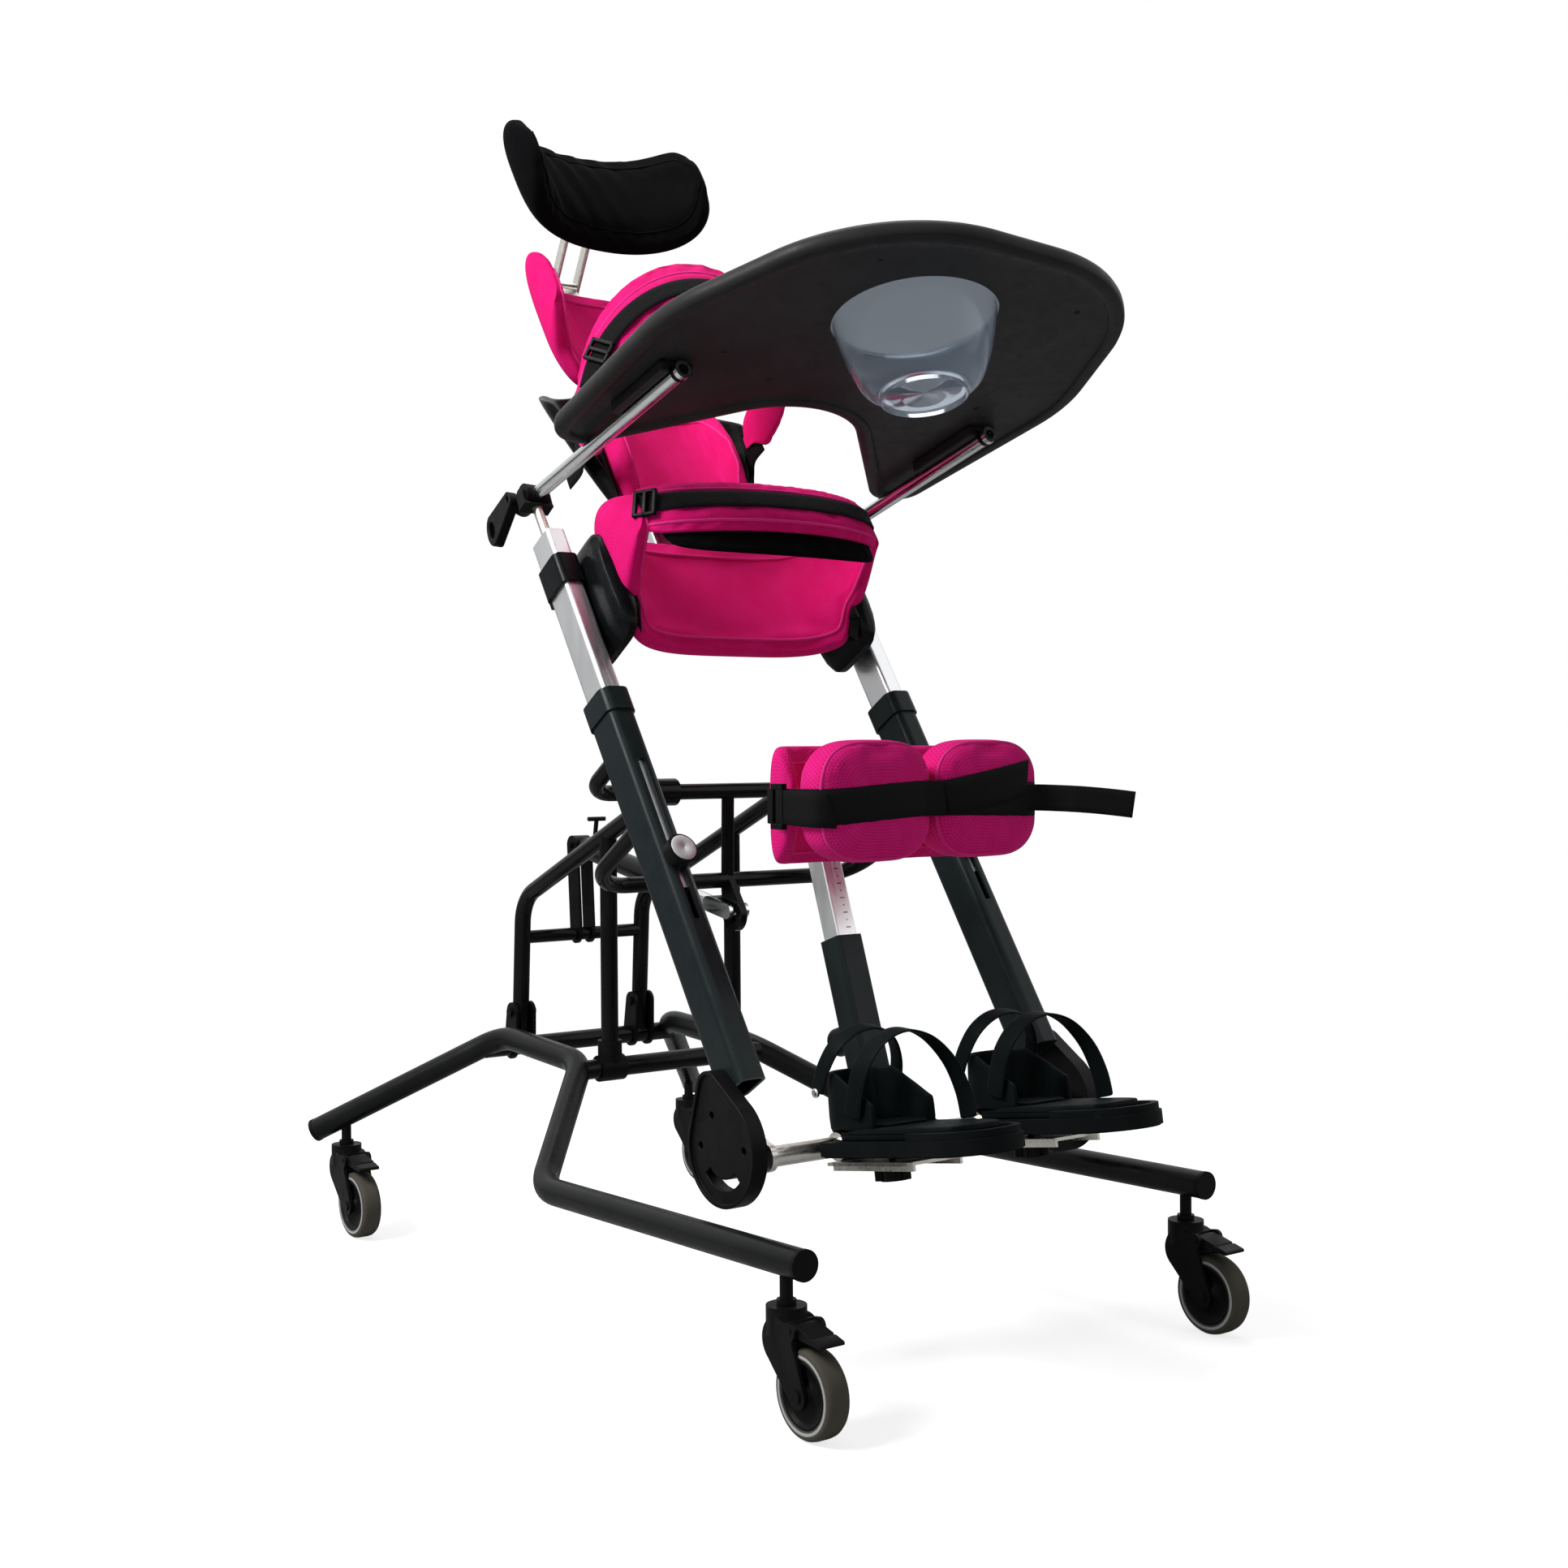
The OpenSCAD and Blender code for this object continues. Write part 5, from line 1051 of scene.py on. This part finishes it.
cushions = []
for side, hand in SIDES:
    cushions.append(knee_cushion(side, hand))
    band_pad(hand + "_knee_back_cushion", "knee_back_pads", *KNEE,
             ROW @ Matrix.Translation((side * 87, -283, KNEE_Z - 6)),
             band_rows(u_path(66, 44), 30, 148, 0.0, 0.5), pipe=2.0)
far_cushion, near_cushion = cushions


def outline_points(item, indices, j, push):
    """Points of a cushion's middle outline, pushed out from its middle."""
    points = [item.data.vertices[i * AROUND + j].co / MM for i in indices]
    centre = Vector((math.copysign(KNEE_X, points[0].x), KNEE_Y, KNEE_Z))
    return [q + (q - centre).normalized() * push for q in points]


TURN = 17
VALLEY = 8
HALF_ROUND = AROUND // 2
STRAP_OFF = 2.4
STRAP_W = 44.0
strap_path = [Vector((x, y, KNEE_Z)) for x, y in ((-171, -302), (-174.5, -326), (-178, -352))]
strap_path += outline_points(near_cushion, range(TURN, -1, -1), HALF_ROUND, STRAP_OFF)
strap_path += outline_points(near_cushion, range(0, VALLEY), 0, STRAP_OFF)
strap_path += outline_points(far_cushion, range(VALLEY - 1, -1, -1), HALF_ROUND, STRAP_OFF)
strap_path += outline_points(far_cushion, range(0, TURN + 1), 0, STRAP_OFF)
strap_path += [Vector((x, y, KNEE_Z)) for x, y in ((178, -352), (174.5, -326), (171, -308))]
for q in strap_path:
    q.z = KNEE_Z - 6 + 8 * step(q.x, -180, -20) - 4 * step(q.x, 20, 180)
strap_path = resample(strap_path, 150)
for _ in range(3):
    inner = [(a + b * 2 + c) / 4 for a, b, c in zip(strap_path, strap_path[1:], strap_path[2:])]
    strap_path = strap_path[:1] + inner + strap_path[-1:]

# Webbing that ties the chest belt's ends to the side shell
TIE_UP = (lean_matrix().to_3x3() @ UP).normalized()
TIE_W = 38
SHELL_X = 150
for side, end_x, hand in ((-1, 184, "right"), (1, 111, "left")):
    ends = [(end_x, 100, 400), (end_x, 72, 400), ((end_x + SHELL_X) / 2, 38, 404), (SHELL_X, 4, 408),
            (SHELL_X, -32, 410)]
    line = curve_through([lean_matrix() @ lean_at(side * x, n, s) / MM for x, n, s in ends], 24)
    webbing_strip("chest_tie_" + hand, "chest_support", line, TIE_W, up=TIE_UP)

webbing_strip("knee_strap_band", "knee_support", strap_path, STRAP_W, "knee_strap")
LAYER = STRAP_OFF + 2.6
TAIL_TURN = math.radians(-43)
TAIL_BACK, TAIL_LONG, TAIL_DROP = 22, 140, 10
tail_start = outline_points(far_cushion, [7], 0, LAYER)[0]
tail = []
for i in range(31):
    s = i / 30
    flat = Vector((TAIL_LONG * s - TAIL_BACK, 0, 0))
    bent = Vector((flat.x * math.cos(TAIL_TURN), TAIL_LONG * s * math.sin(TAIL_TURN), 0))
    tail.append(tail_start + flat.lerp(bent, min(1.0, s * 2.2)) - UP * (TAIL_DROP * s * s))
webbing_strip("knee_strap_tail", "knee_support", tail, STRAP_W - 10)
ladder_buckle("knee_buckle", "knee_support", ROW, Vector((-180, -336, KNEE_Z - 6)), Vector((7, 50, 0)), UP,
              30, 56, 7)


def knee_layer(name, points, lift, width, slant):
    """A strap end that lies over the knee strap, lifted evenly from its first to its last point."""
    line = resample(points, 40)
    for i, q in enumerate(line):
        q.z = KNEE_Z + lift[0] + (lift[1] - lift[0]) * i / (len(line) - 1)
    webbing_strip(name, "knee_support", line, width, slant=slant)


knee_layer("knee_strap_fold", [Vector((-182.5, -336, KNEE_Z)), Vector((-183, -352, KNEE_Z))]
           + outline_points(near_cushion, range(TURN - 2, 6, -1), HALF_ROUND, LAYER), (-6, -10), 42, -0.35)
knee_layer("knee_strap_tab", outline_points(far_cushion, range(VALLEY - 1, -1, -1), HALF_ROUND, LAYER)
           + outline_points(far_cushion, range(0, 6), 0, LAYER), (2, 26), STRAP_W, 0.3)

# Scale on the knee tube
KNEE_IN = 16.15
ticks = []
for i in range(13):
    reach, z = (1.1 if i % 2 else 3.6), 232 + 10 * i
    ticks.append(((4 - reach, -KNEE_IN - 0.15, z - 0.6), (4 + reach, -KNEE_IN + 0.15, z + 0.6)))
new_object("knee_scale", box_mesh("knee_scale", ticks, knee_matrix()), "ink", "knee_support", "black_plastic")


# Wheels

AXLE_BACK = 46.0
STEM_X = 322.0
STEM_Y = {"front": -536.0, "rear": 616.0}
WHEEL_R = 50.0
TYRE = [(37, -14.2), (40.4, -15), (44.5, -15), (47.4, -14), (49.3, -11), (50, -6.5), (50, 6.5), (49.3, 11),
        (47.4, 14), (44.5, 15), (40.4, 15), (37, 14.2)]
HUB = [(4.05, -15), (11, -15), (12, -14.2), (12.6, -10), (31, -9.4), (33, -10.4), (33.6, -14.4),
       (37.2, -14.6), (37.2, 14.6), (33.6, 14.4), (33, 10.4), (31, 9.4), (12.6, 10), (12, 14.2), (11, 15),
       (4.05, 15)]
BAND = [(39.6, 14.6), (39.8, 15.3), (40.4, 15.6), (42.6, 15.6), (43.2, 15.3), (43.4, 14.6)]
SPIN = turn(90, "Y")
for end in ("front", "rear"):
    for side, hand in SIDES:
        wheel = end + "_" + hand + "_wheel"
        place = ROW @ Matrix.Translation((side * STEM_X, STEM_Y[end] - AXLE_BACK, WHEEL_R)) @ SPIN
        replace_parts(turned(wheel + "_tyre", TYRE, 96, place, "tyre", wheel, "tyre"), wheel)
        turned(wheel + "_hub", HUB, 72, place, "plastic", wheel, "black_plastic")
        for way, flank in ((1, "a"), (-1, "b")):
            profile = [(r, z * way) for r, z in BAND]
            turned(wheel + "_ring_" + flank, profile, 96, place, "ring", wheel, "tyre")


# Bowl, tray and moulded parts

BOWL_TOP = 23.3
BOWL_RIM = 102.0
BOWL_FOOT = 54.0
BOWL_DEPTH = 104.0
WALL = 2.5
BOWL_X, BOWL_Y = -28, -604
outer = [(BOWL_FOOT - 2, -BOWL_DEPTH - 6), (BOWL_FOOT, -BOWL_DEPTH - 5), (BOWL_FOOT, -BOWL_DEPTH),
         (60, -BOWL_DEPTH + 4)]
flank = [(60, -BOWL_DEPTH + 4), (74, -88), (86, -62), (94, -34), (BOWL_RIM - 1, -4)]
outer += [(q.x, q.y) for q in curve_through([Vector((r, z, 0)) for r, z in flank], 22)[1:]]
lip = [(BOWL_RIM, 0), (110, 0.2), (111, 1.2), (110.4, 2.4), (BOWL_RIM - 1, 2.6), (BOWL_RIM - WALL - 0.6, 0.5)]
inner = [(r - WALL, z + 0.5) for r, z in reversed(outer[4:])]
inner += [(56, -BOWL_DEPTH + 4), (50, -BOWL_DEPTH + WALL), (0.01, -BOWL_DEPTH + WALL)]
under = [(0.01, -BOWL_DEPTH), (BOWL_FOOT - 4, -BOWL_DEPTH), (BOWL_FOOT - 4, -BOWL_DEPTH - 5.5)]
bowl_place = tray_matrix() @ Matrix.Translation((BOWL_X, BOWL_Y, BOWL_TOP))
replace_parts(turned("bowl_turned", outer + lip + inner + under, 96, bowl_place, "bowl", "bowl", "clear_bowl"),
            "bowl")

TRAY_HALF = 316.0
CORNER = (Vector((TRAY_HALF - 40 - 230, -790 + 230)), 230.0)
WAIST = (Vector((TRAY_HALF - 260, -450)), 260.0)
TIP = (Vector((256, -144 - 44)), 44.0)
CUT = (Vector((0, -354 + 120)), 120.0)


def tangent(a, b):
    """Direction from two circles' middles to their common tangent on the outer side, in radians."""
    d = b[0] - a[0]
    return math.atan2(d.y, d.x) - math.acos((a[1] - b[1]) / d.length)


def arc(circle, inset, first, last, count):
    return [circle[0] + (circle[1] - inset) * Vector((math.cos(a), math.sin(a)))
            for a in (first + (last - first) * i / (count - 1) for i in range(count))]


def tray_ring(inset, z):
    """The tray's outline drawn in by an inset, as a closed ring of points."""
    first, second = tangent(CORNER, WAIST), tangent(WAIST, TIP)
    d = TIP[0] - CUT[0]
    cross = math.atan2(d.y, d.x) - math.acos((CUT[1] + TIP[1]) / d.length)
    half = [Vector((CORNER[0].x * i / 4, CORNER[0].y - CORNER[1] + inset)) for i in range(1, 4)]
    half += arc(CORNER, inset, -math.pi / 2, first, 30)
    side = arc(WAIST, inset, first, second, 12)
    tip = arc(TIP, inset, second, math.pi + cross, 26)
    cut = arc(CUT, -inset, cross, -math.pi / 2, 22)
    half += side + [side[-1].lerp(tip[0], i / 8) for i in range(1, 8)] + tip
    half += [tip[-1].lerp(cut[0], i / 6) for i in range(1, 6)] + cut
    ring = [Vector((0, CORNER[0].y - CORNER[1] + inset))] + half
    ring += [Vector((-q.x, q.y)) for q in reversed(half[:-1])]
    return [Vector((q.x, q.y, z)) for q in ring]


PANEL = (18.0, 23.0)
HOLE_R = 103.2
HOLE_SIDES = 64
RIM = [(34, PANEL[0]), (24, PANEL[0]), (21.6, 17.4), (20.6, 15.4), (18.6, 14.2), (11, 14.0), (5.6, 14.7),
       (2.4, 16.6), (0.5, 20), (0, 25), (0.4, 30.5), (2.2, 34.8), (5.2, 37.3), (9, 38), (16, 38),
       (19.6, 37.0), (21.4, 33.6), (22.6, 26.4), (25, 23.5), (34, PANEL[1])]


def tray_mesh(name, place):
    """The tray: a rolled rim round a thin panel, with a hole for the bowl."""
    work = bmesh.new()
    rings = [[work.verts.new(q) for q in tray_ring(inset, z)] for inset, z in RIM]
    count = len(rings[0])
    for a, b in zip(rings, rings[1:]):
        for j in range(count):
            k = (j + 1) % count
            work.faces.new((a[j], a[k], b[k], b[j]))
    holes = [[work.verts.new((BOWL_X + HOLE_R * math.cos(a), BOWL_Y + HOLE_R * math.sin(a), z))
              for a in (2 * math.pi * i / HOLE_SIDES for i in range(HOLE_SIDES))] for z in PANEL]
    for j in range(HOLE_SIDES):
        k = (j + 1) % HOLE_SIDES
        work.faces.new((holes[0][j], holes[0][k], holes[1][k], holes[1][j]))
    for ring, hole in ((rings[0], holes[0]), (rings[-1], holes[1])):
        edges = [work.edges.get((r[j], r[(j + 1) % len(r)])) for r in (ring, hole) for j in range(len(r))]
        bmesh.ops.triangle_fill(work, use_beauty=True, edges=edges)
    bmesh.ops.recalc_face_normals(work, faces=work.faces)
    mesh = placed_mesh(name, work, place)
    smooth(mesh)
    mesh.set_sharp_from_angle(angle=math.radians(38))
    return mesh


tray = new_object("tray_moulded", tray_mesh("tray_moulded", tray_matrix()), "tray", "tray", "tray_plastic")
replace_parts(tray, "tray")
HANGER = [((-23, -398, 1), (-10.6, -268, 18.4)), ((10.6, -398, 1), (23, -268, 18.4)),
          ((-23, -398, 10.4), (23, -268, 18.4))]
for side, hand in SIDES:
    name = hand + "_tray_hanger"
    mesh = box_mesh(name, HANGER, tray_matrix() @ Matrix.Translation((side * CLAMP_HALF, 0, 0)))
    bevel(new_object(name, mesh, "tray", "tray", "tray_plastic"), 2.6, 3)
SCREW = [(0.01, 1.6), (2.2, 1.4), (3.6, 0.6), (3.8, -1), (0.01, -1)]
screws = [(side * x, y) for x, y in ((200, -440), (108, -400), (150, -700), (262, -330)) for side in (1, -1)]
for k, (x, y) in enumerate(screws):
    place = tray_matrix() @ Matrix.Translation((x, y, PANEL[0])) @ turn(180, "X")
    turned("tray_screw_" + str(k), SCREW, 20, place, "ink", "tray", "steel")


SHELL_BACK = -40.0


def raised(low, high, up, half, narrow=1.0):
    """Lifts the lower rim of a shell between its sides, more so at the back, and draws its sides in."""
    back = lean_matrix().inverted()

    def change(co):
        q = back @ co
        s = q.z - RIM_UP
        behind = -q.y - UPRIGHT_AHEAD < SHELL_BACK
        if abs(q.x) < half and s < high:
            q.z += (2.2 * up if behind else up) * min(1.0, (high - s) / (high - low))
        if narrow < 1 and not behind:
            q.x *= narrow
            ahead = -q.y - UPRIGHT_AHEAD
            q.y += max(0.0, ahead) * 0.6
        return lean_matrix() @ q
    return change


def trimmed(co):
    """Draws the skirt of a footplate up, so that its carrier shows below it."""
    q = foot_matrix().inverted() @ co
    if q.z < 0:
        q.z *= 0.55
    return foot_matrix() @ q


def stout(x, z):
    """Thickens a lever about its middle."""
    def change(co):
        q = lean_matrix().inverted() @ co
        q.x = x + (q.x - x) * 1.6
        q.z = z + (q.z - z) * 1.7
        return lean_matrix() @ q
    return change


def clamp_part(co):
    """Whether a face belongs to a clamp and not to a tray stem."""
    q = lean_matrix().inverted() @ co
    return q.z > (332 if q.x > 0 else 380)


PAINTED = {"tray_stems": clamp_part}
RAISED = {"pelvic_shell": raised(60, 130, 44, 183), "chest_shell": raised(280, 400, 80, 176, 0.66),
          "spine": raised(90, 160, 60, 100), "left_footplate": trimmed, "right_footplate": trimmed,
          "left_clamp_lever": stout(261, 368), "right_clamp_lever": stout(-261, 416)}
EASED = [("spine", "alu", 0.6, "bright_tube", 1), ("tray_stems", "zinc", 0.8, "bright_tube", 2)]
black = [("chest_shell", "shell", 1.5), ("pelvic_shell", "shell", 1.5)]
for part, look, width in (("side_bracket", "plastic", 1.6), ("clamp_lever", "plastic", 1.6),
                          ("footplate", "footplate", 1.6), ("foot_knob", "plastic", 1.6),
                          ("height_knob", "plastic", 1.4)):
    black += [(hand + "_" + part, look, width) for _, hand in SIDES]
black.append(("knee_knob", "plastic", 1.6))
for end in ("front", "rear"):
    for _, hand in SIDES:
        black += [(end + "_" + hand + "_fork", "plastic", 1.6), (end + "_" + hand + "_pedal", "plastic", 1.2)]
EASED += [row + ("black_plastic", 2) for row in black]
for node, look, width, slot, segments in EASED:
    edged(node, look, width, slot, segments, RAISED.get(node), PAINTED.get(node))


# Knob faces, rod plugs and footplate carriers

FACE = [(0.01, 1.4), (13, 1.4), (16.6, 0.8), (17.6, 0), (17.6, -0.8), (0.01, -0.8)]
PLUG = [(0.01, 7), (6, 6.6), (9.4, 4.8), (10.7, 2), (10.7, -9), (10.1, -9.4), (0.01, -9.4)]
AHEAD = turn(90, "X")
FOOT_X = 113.0
for side, hand in SIDES:
    place = lean_matrix() @ Matrix.Translation((side * UPRIGHT_HALF, -174.5, -189)) @ AHEAD
    turned(hand + "_knob_face", FACE, 48, place, "cap", hand + "_height_knob", "steel")
    place = tray_matrix() @ Matrix.Translation((side * CLAMP_HALF, -406, 0)) @ AHEAD
    turned(hand + "_rod_plug", PLUG, 40, place, "plastic", "tray", "black_plastic")
    name = hand + "_carrier_rails"
    rails = [((x - 2, -161, -27), (x + 2, -11, -17)) for x in (side * FOOT_X - 36, side * FOOT_X + 36)]
    new_object(name, box_mesh(name, rails, foot_matrix()), "zinc", "foot_frame", "steel")


# Sandals

SOLE_LOW = 9.3
SOLE_TOP = 18.3
SOLE_W = 98.0
SOLE_BACK = -20.5
SOLE_LEN = 226.0
HEEL_BACK = 6.0
SOLE_RINGS = [(3, SOLE_LOW), (0.6, SOLE_LOW + 0.8), (0, SOLE_LOW + 2.4), (0, SOLE_LOW + 5.4),
              (1.2, SOLE_LOW + 6.2), (1.2, SOLE_LOW + 7.0), (0.2, SOLE_LOW + 7.8),
              (0.2, SOLE_TOP + 4), (1.0, SOLE_TOP + 5), (4.0, SOLE_TOP + 5.4)]
INSOLE_RINGS = [(8, SOLE_TOP + 5), (5, SOLE_TOP + 7), (7, SOLE_TOP + 9), (14, SOLE_TOP + 9.6)]
ANKLE = [(-53, -14, 70), (-53, -30, 96), (-44, -46, 122), (-22, -56, 138), (8, -60, 140), (34, -56, 126),
         (49, -46, 100), (53, -34, 70)]
ANKLE_TILT = (0.5, 0.6, 0.5, 0.3, 0.3, 0.4, 0.5, 0.4)
INSTEP = [(-53, -78, 38), (-53.5, -86, 62), (-48, -98, 96), (-30, -112, 124), (-4, -126, 134),
          (22, -140, 122), (42, -152, 92), (51, -160, 56), (52, -164, 24)]
RIDGES = (0.10, 0.30, 0.56, 0.62, 0.93, 0.985)
INSTEP_TILT = (0.35, 0.3, 0.25, 0.1, 0, 0, 0, 0, 0)
RIVET = [(0.01, 2.4), (3, 2.2), (5.4, 1.2), (6, 0), (6, -2.5), (0.01, -2.5)]


def sole_ring(inset, z, front, back):
    """Outline of a sole: a rounded toe, and soft corners at the back."""
    r = SOLE_W / 2 - inset
    mid = (front + back) / 2
    half = (back - front) / 2 - inset
    ring = []
    for i in range(64):
        a = 2 * math.pi * i / 64
        square = 0.5 if math.sin(a) > 0 else 0.8
        ring.append(Vector((r * spow(math.cos(a), 0.5), mid + half * spow(math.sin(a), square), z)))
    return ring


def heel_path(t):
    """Round the heel, from one side to the other."""
    straight = 66.0
    r = SOLE_W / 2 - 2.5
    arc = math.pi * r
    total = 2 * straight + arc
    s = (t + 1) / 2 * total
    mid = HEEL_BACK - SOLE_W / 2
    if s < straight:
        return Vector((-r, mid - straight + s, 0))
    if s > straight + arc:
        return Vector((r, mid - (s - straight - arc), 0))
    a = math.pi - (s - straight) / r
    return Vector((r * math.cos(a), mid + r * math.sin(a), 0))


def heel_cup(name, place):
    """The moulded cup behind the heel: high at the back, low at the front, with upright ridges."""
    rows = []
    count = 96
    for i in range(count):
        t = -1 + 2 * i / (count - 1)
        p, side = heel_path(t), side_of(heel_path, t)
        high = 34 + 40 * math.cos(math.pi / 2 * abs(t) ** 1.6) ** 1.2
        high += 5 * math.exp(-((abs(t) - 0.52) / 0.10) ** 2)
        ridge = sum(2.6 * math.exp(-((abs(t) - k) / 0.022) ** 2) for k in RIDGES)
        flare = 9.0 * math.exp(-(t / 0.32) ** 2)
        row = []
        for z, half in ((0, 2.6), (0.25, 2.6), (0.5, 2.5), (0.75, 2.4), (0.93, 2.2), (1.0, 1.2)):
            row.append(p - side * (half + ridge * (1 - z ** 6) + flare * z * z) + Vector((0, 0, high * z)))
        for z, half in ((1.0, -1.2), (0.93, -2.2), (0.5, -2.5), (0, -2.6)):
            row.append(p - side * (half + flare * z * z) + Vector((0, 0, high * z)))
        rows.append(row)
    return grid(name, rows, place)


def foot_strap(name, body, place, points, tilts, width):
    """A strap over the foot, whose width runs back and up by the given tilts."""
    line = curve_through([Vector(q) for q in points], 60)
    spread = curve_through([Vector((0, 1, k)) for k in tilts], 60)
    item = new_object(name, strip(name, line, spread, width, 3.0, place, 0.4), "sandal", body, "sandal")
    path_length(line) * MM
    finer(item)


for side, hand in SIDES:
    body = hand + "_foot"
    place = foot_matrix() @ Matrix.Translation((side * FOOT_X, 0, 0))
    name = hand + "_sole"
    rings = [sole_ring(inset, z, SOLE_BACK - SOLE_LEN, SOLE_BACK) for inset, z in SOLE_RINGS]
    sole = new_object(name, grid(name, rings, place), "sandal", body, "sandal")
    sole.data.set_sharp_from_angle(angle=math.radians(40))
    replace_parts(sole, hand + "_sandal")
    name = hand + "_heel_cup"
    cup = heel_cup(name, place @ Matrix.Translation((0, 0, SOLE_TOP)))
    finer(new_object(name, cup, "sandal", body, "sandal"))
    name = hand + "_insole"
    rings = [sole_ring(inset, z, -125, 2) for inset, z in INSOLE_RINGS]
    new_object(name, grid(name, rings, place), "sandal", body, "sandal")
    foot_strap(hand + "_ankle_strap", body, place, ANKLE, ANKLE_TILT, 24)
    foot_strap(hand + "_instep_strap", body, place, INSTEP, INSTEP_TILT, 30)
    rivet_place = place @ Matrix.Translation((-55, -12, 68)) @ turn(-90, "Y")
    turned(hand + "_rivet", RIVET, 24, rivet_place, "rod", body, "steel")
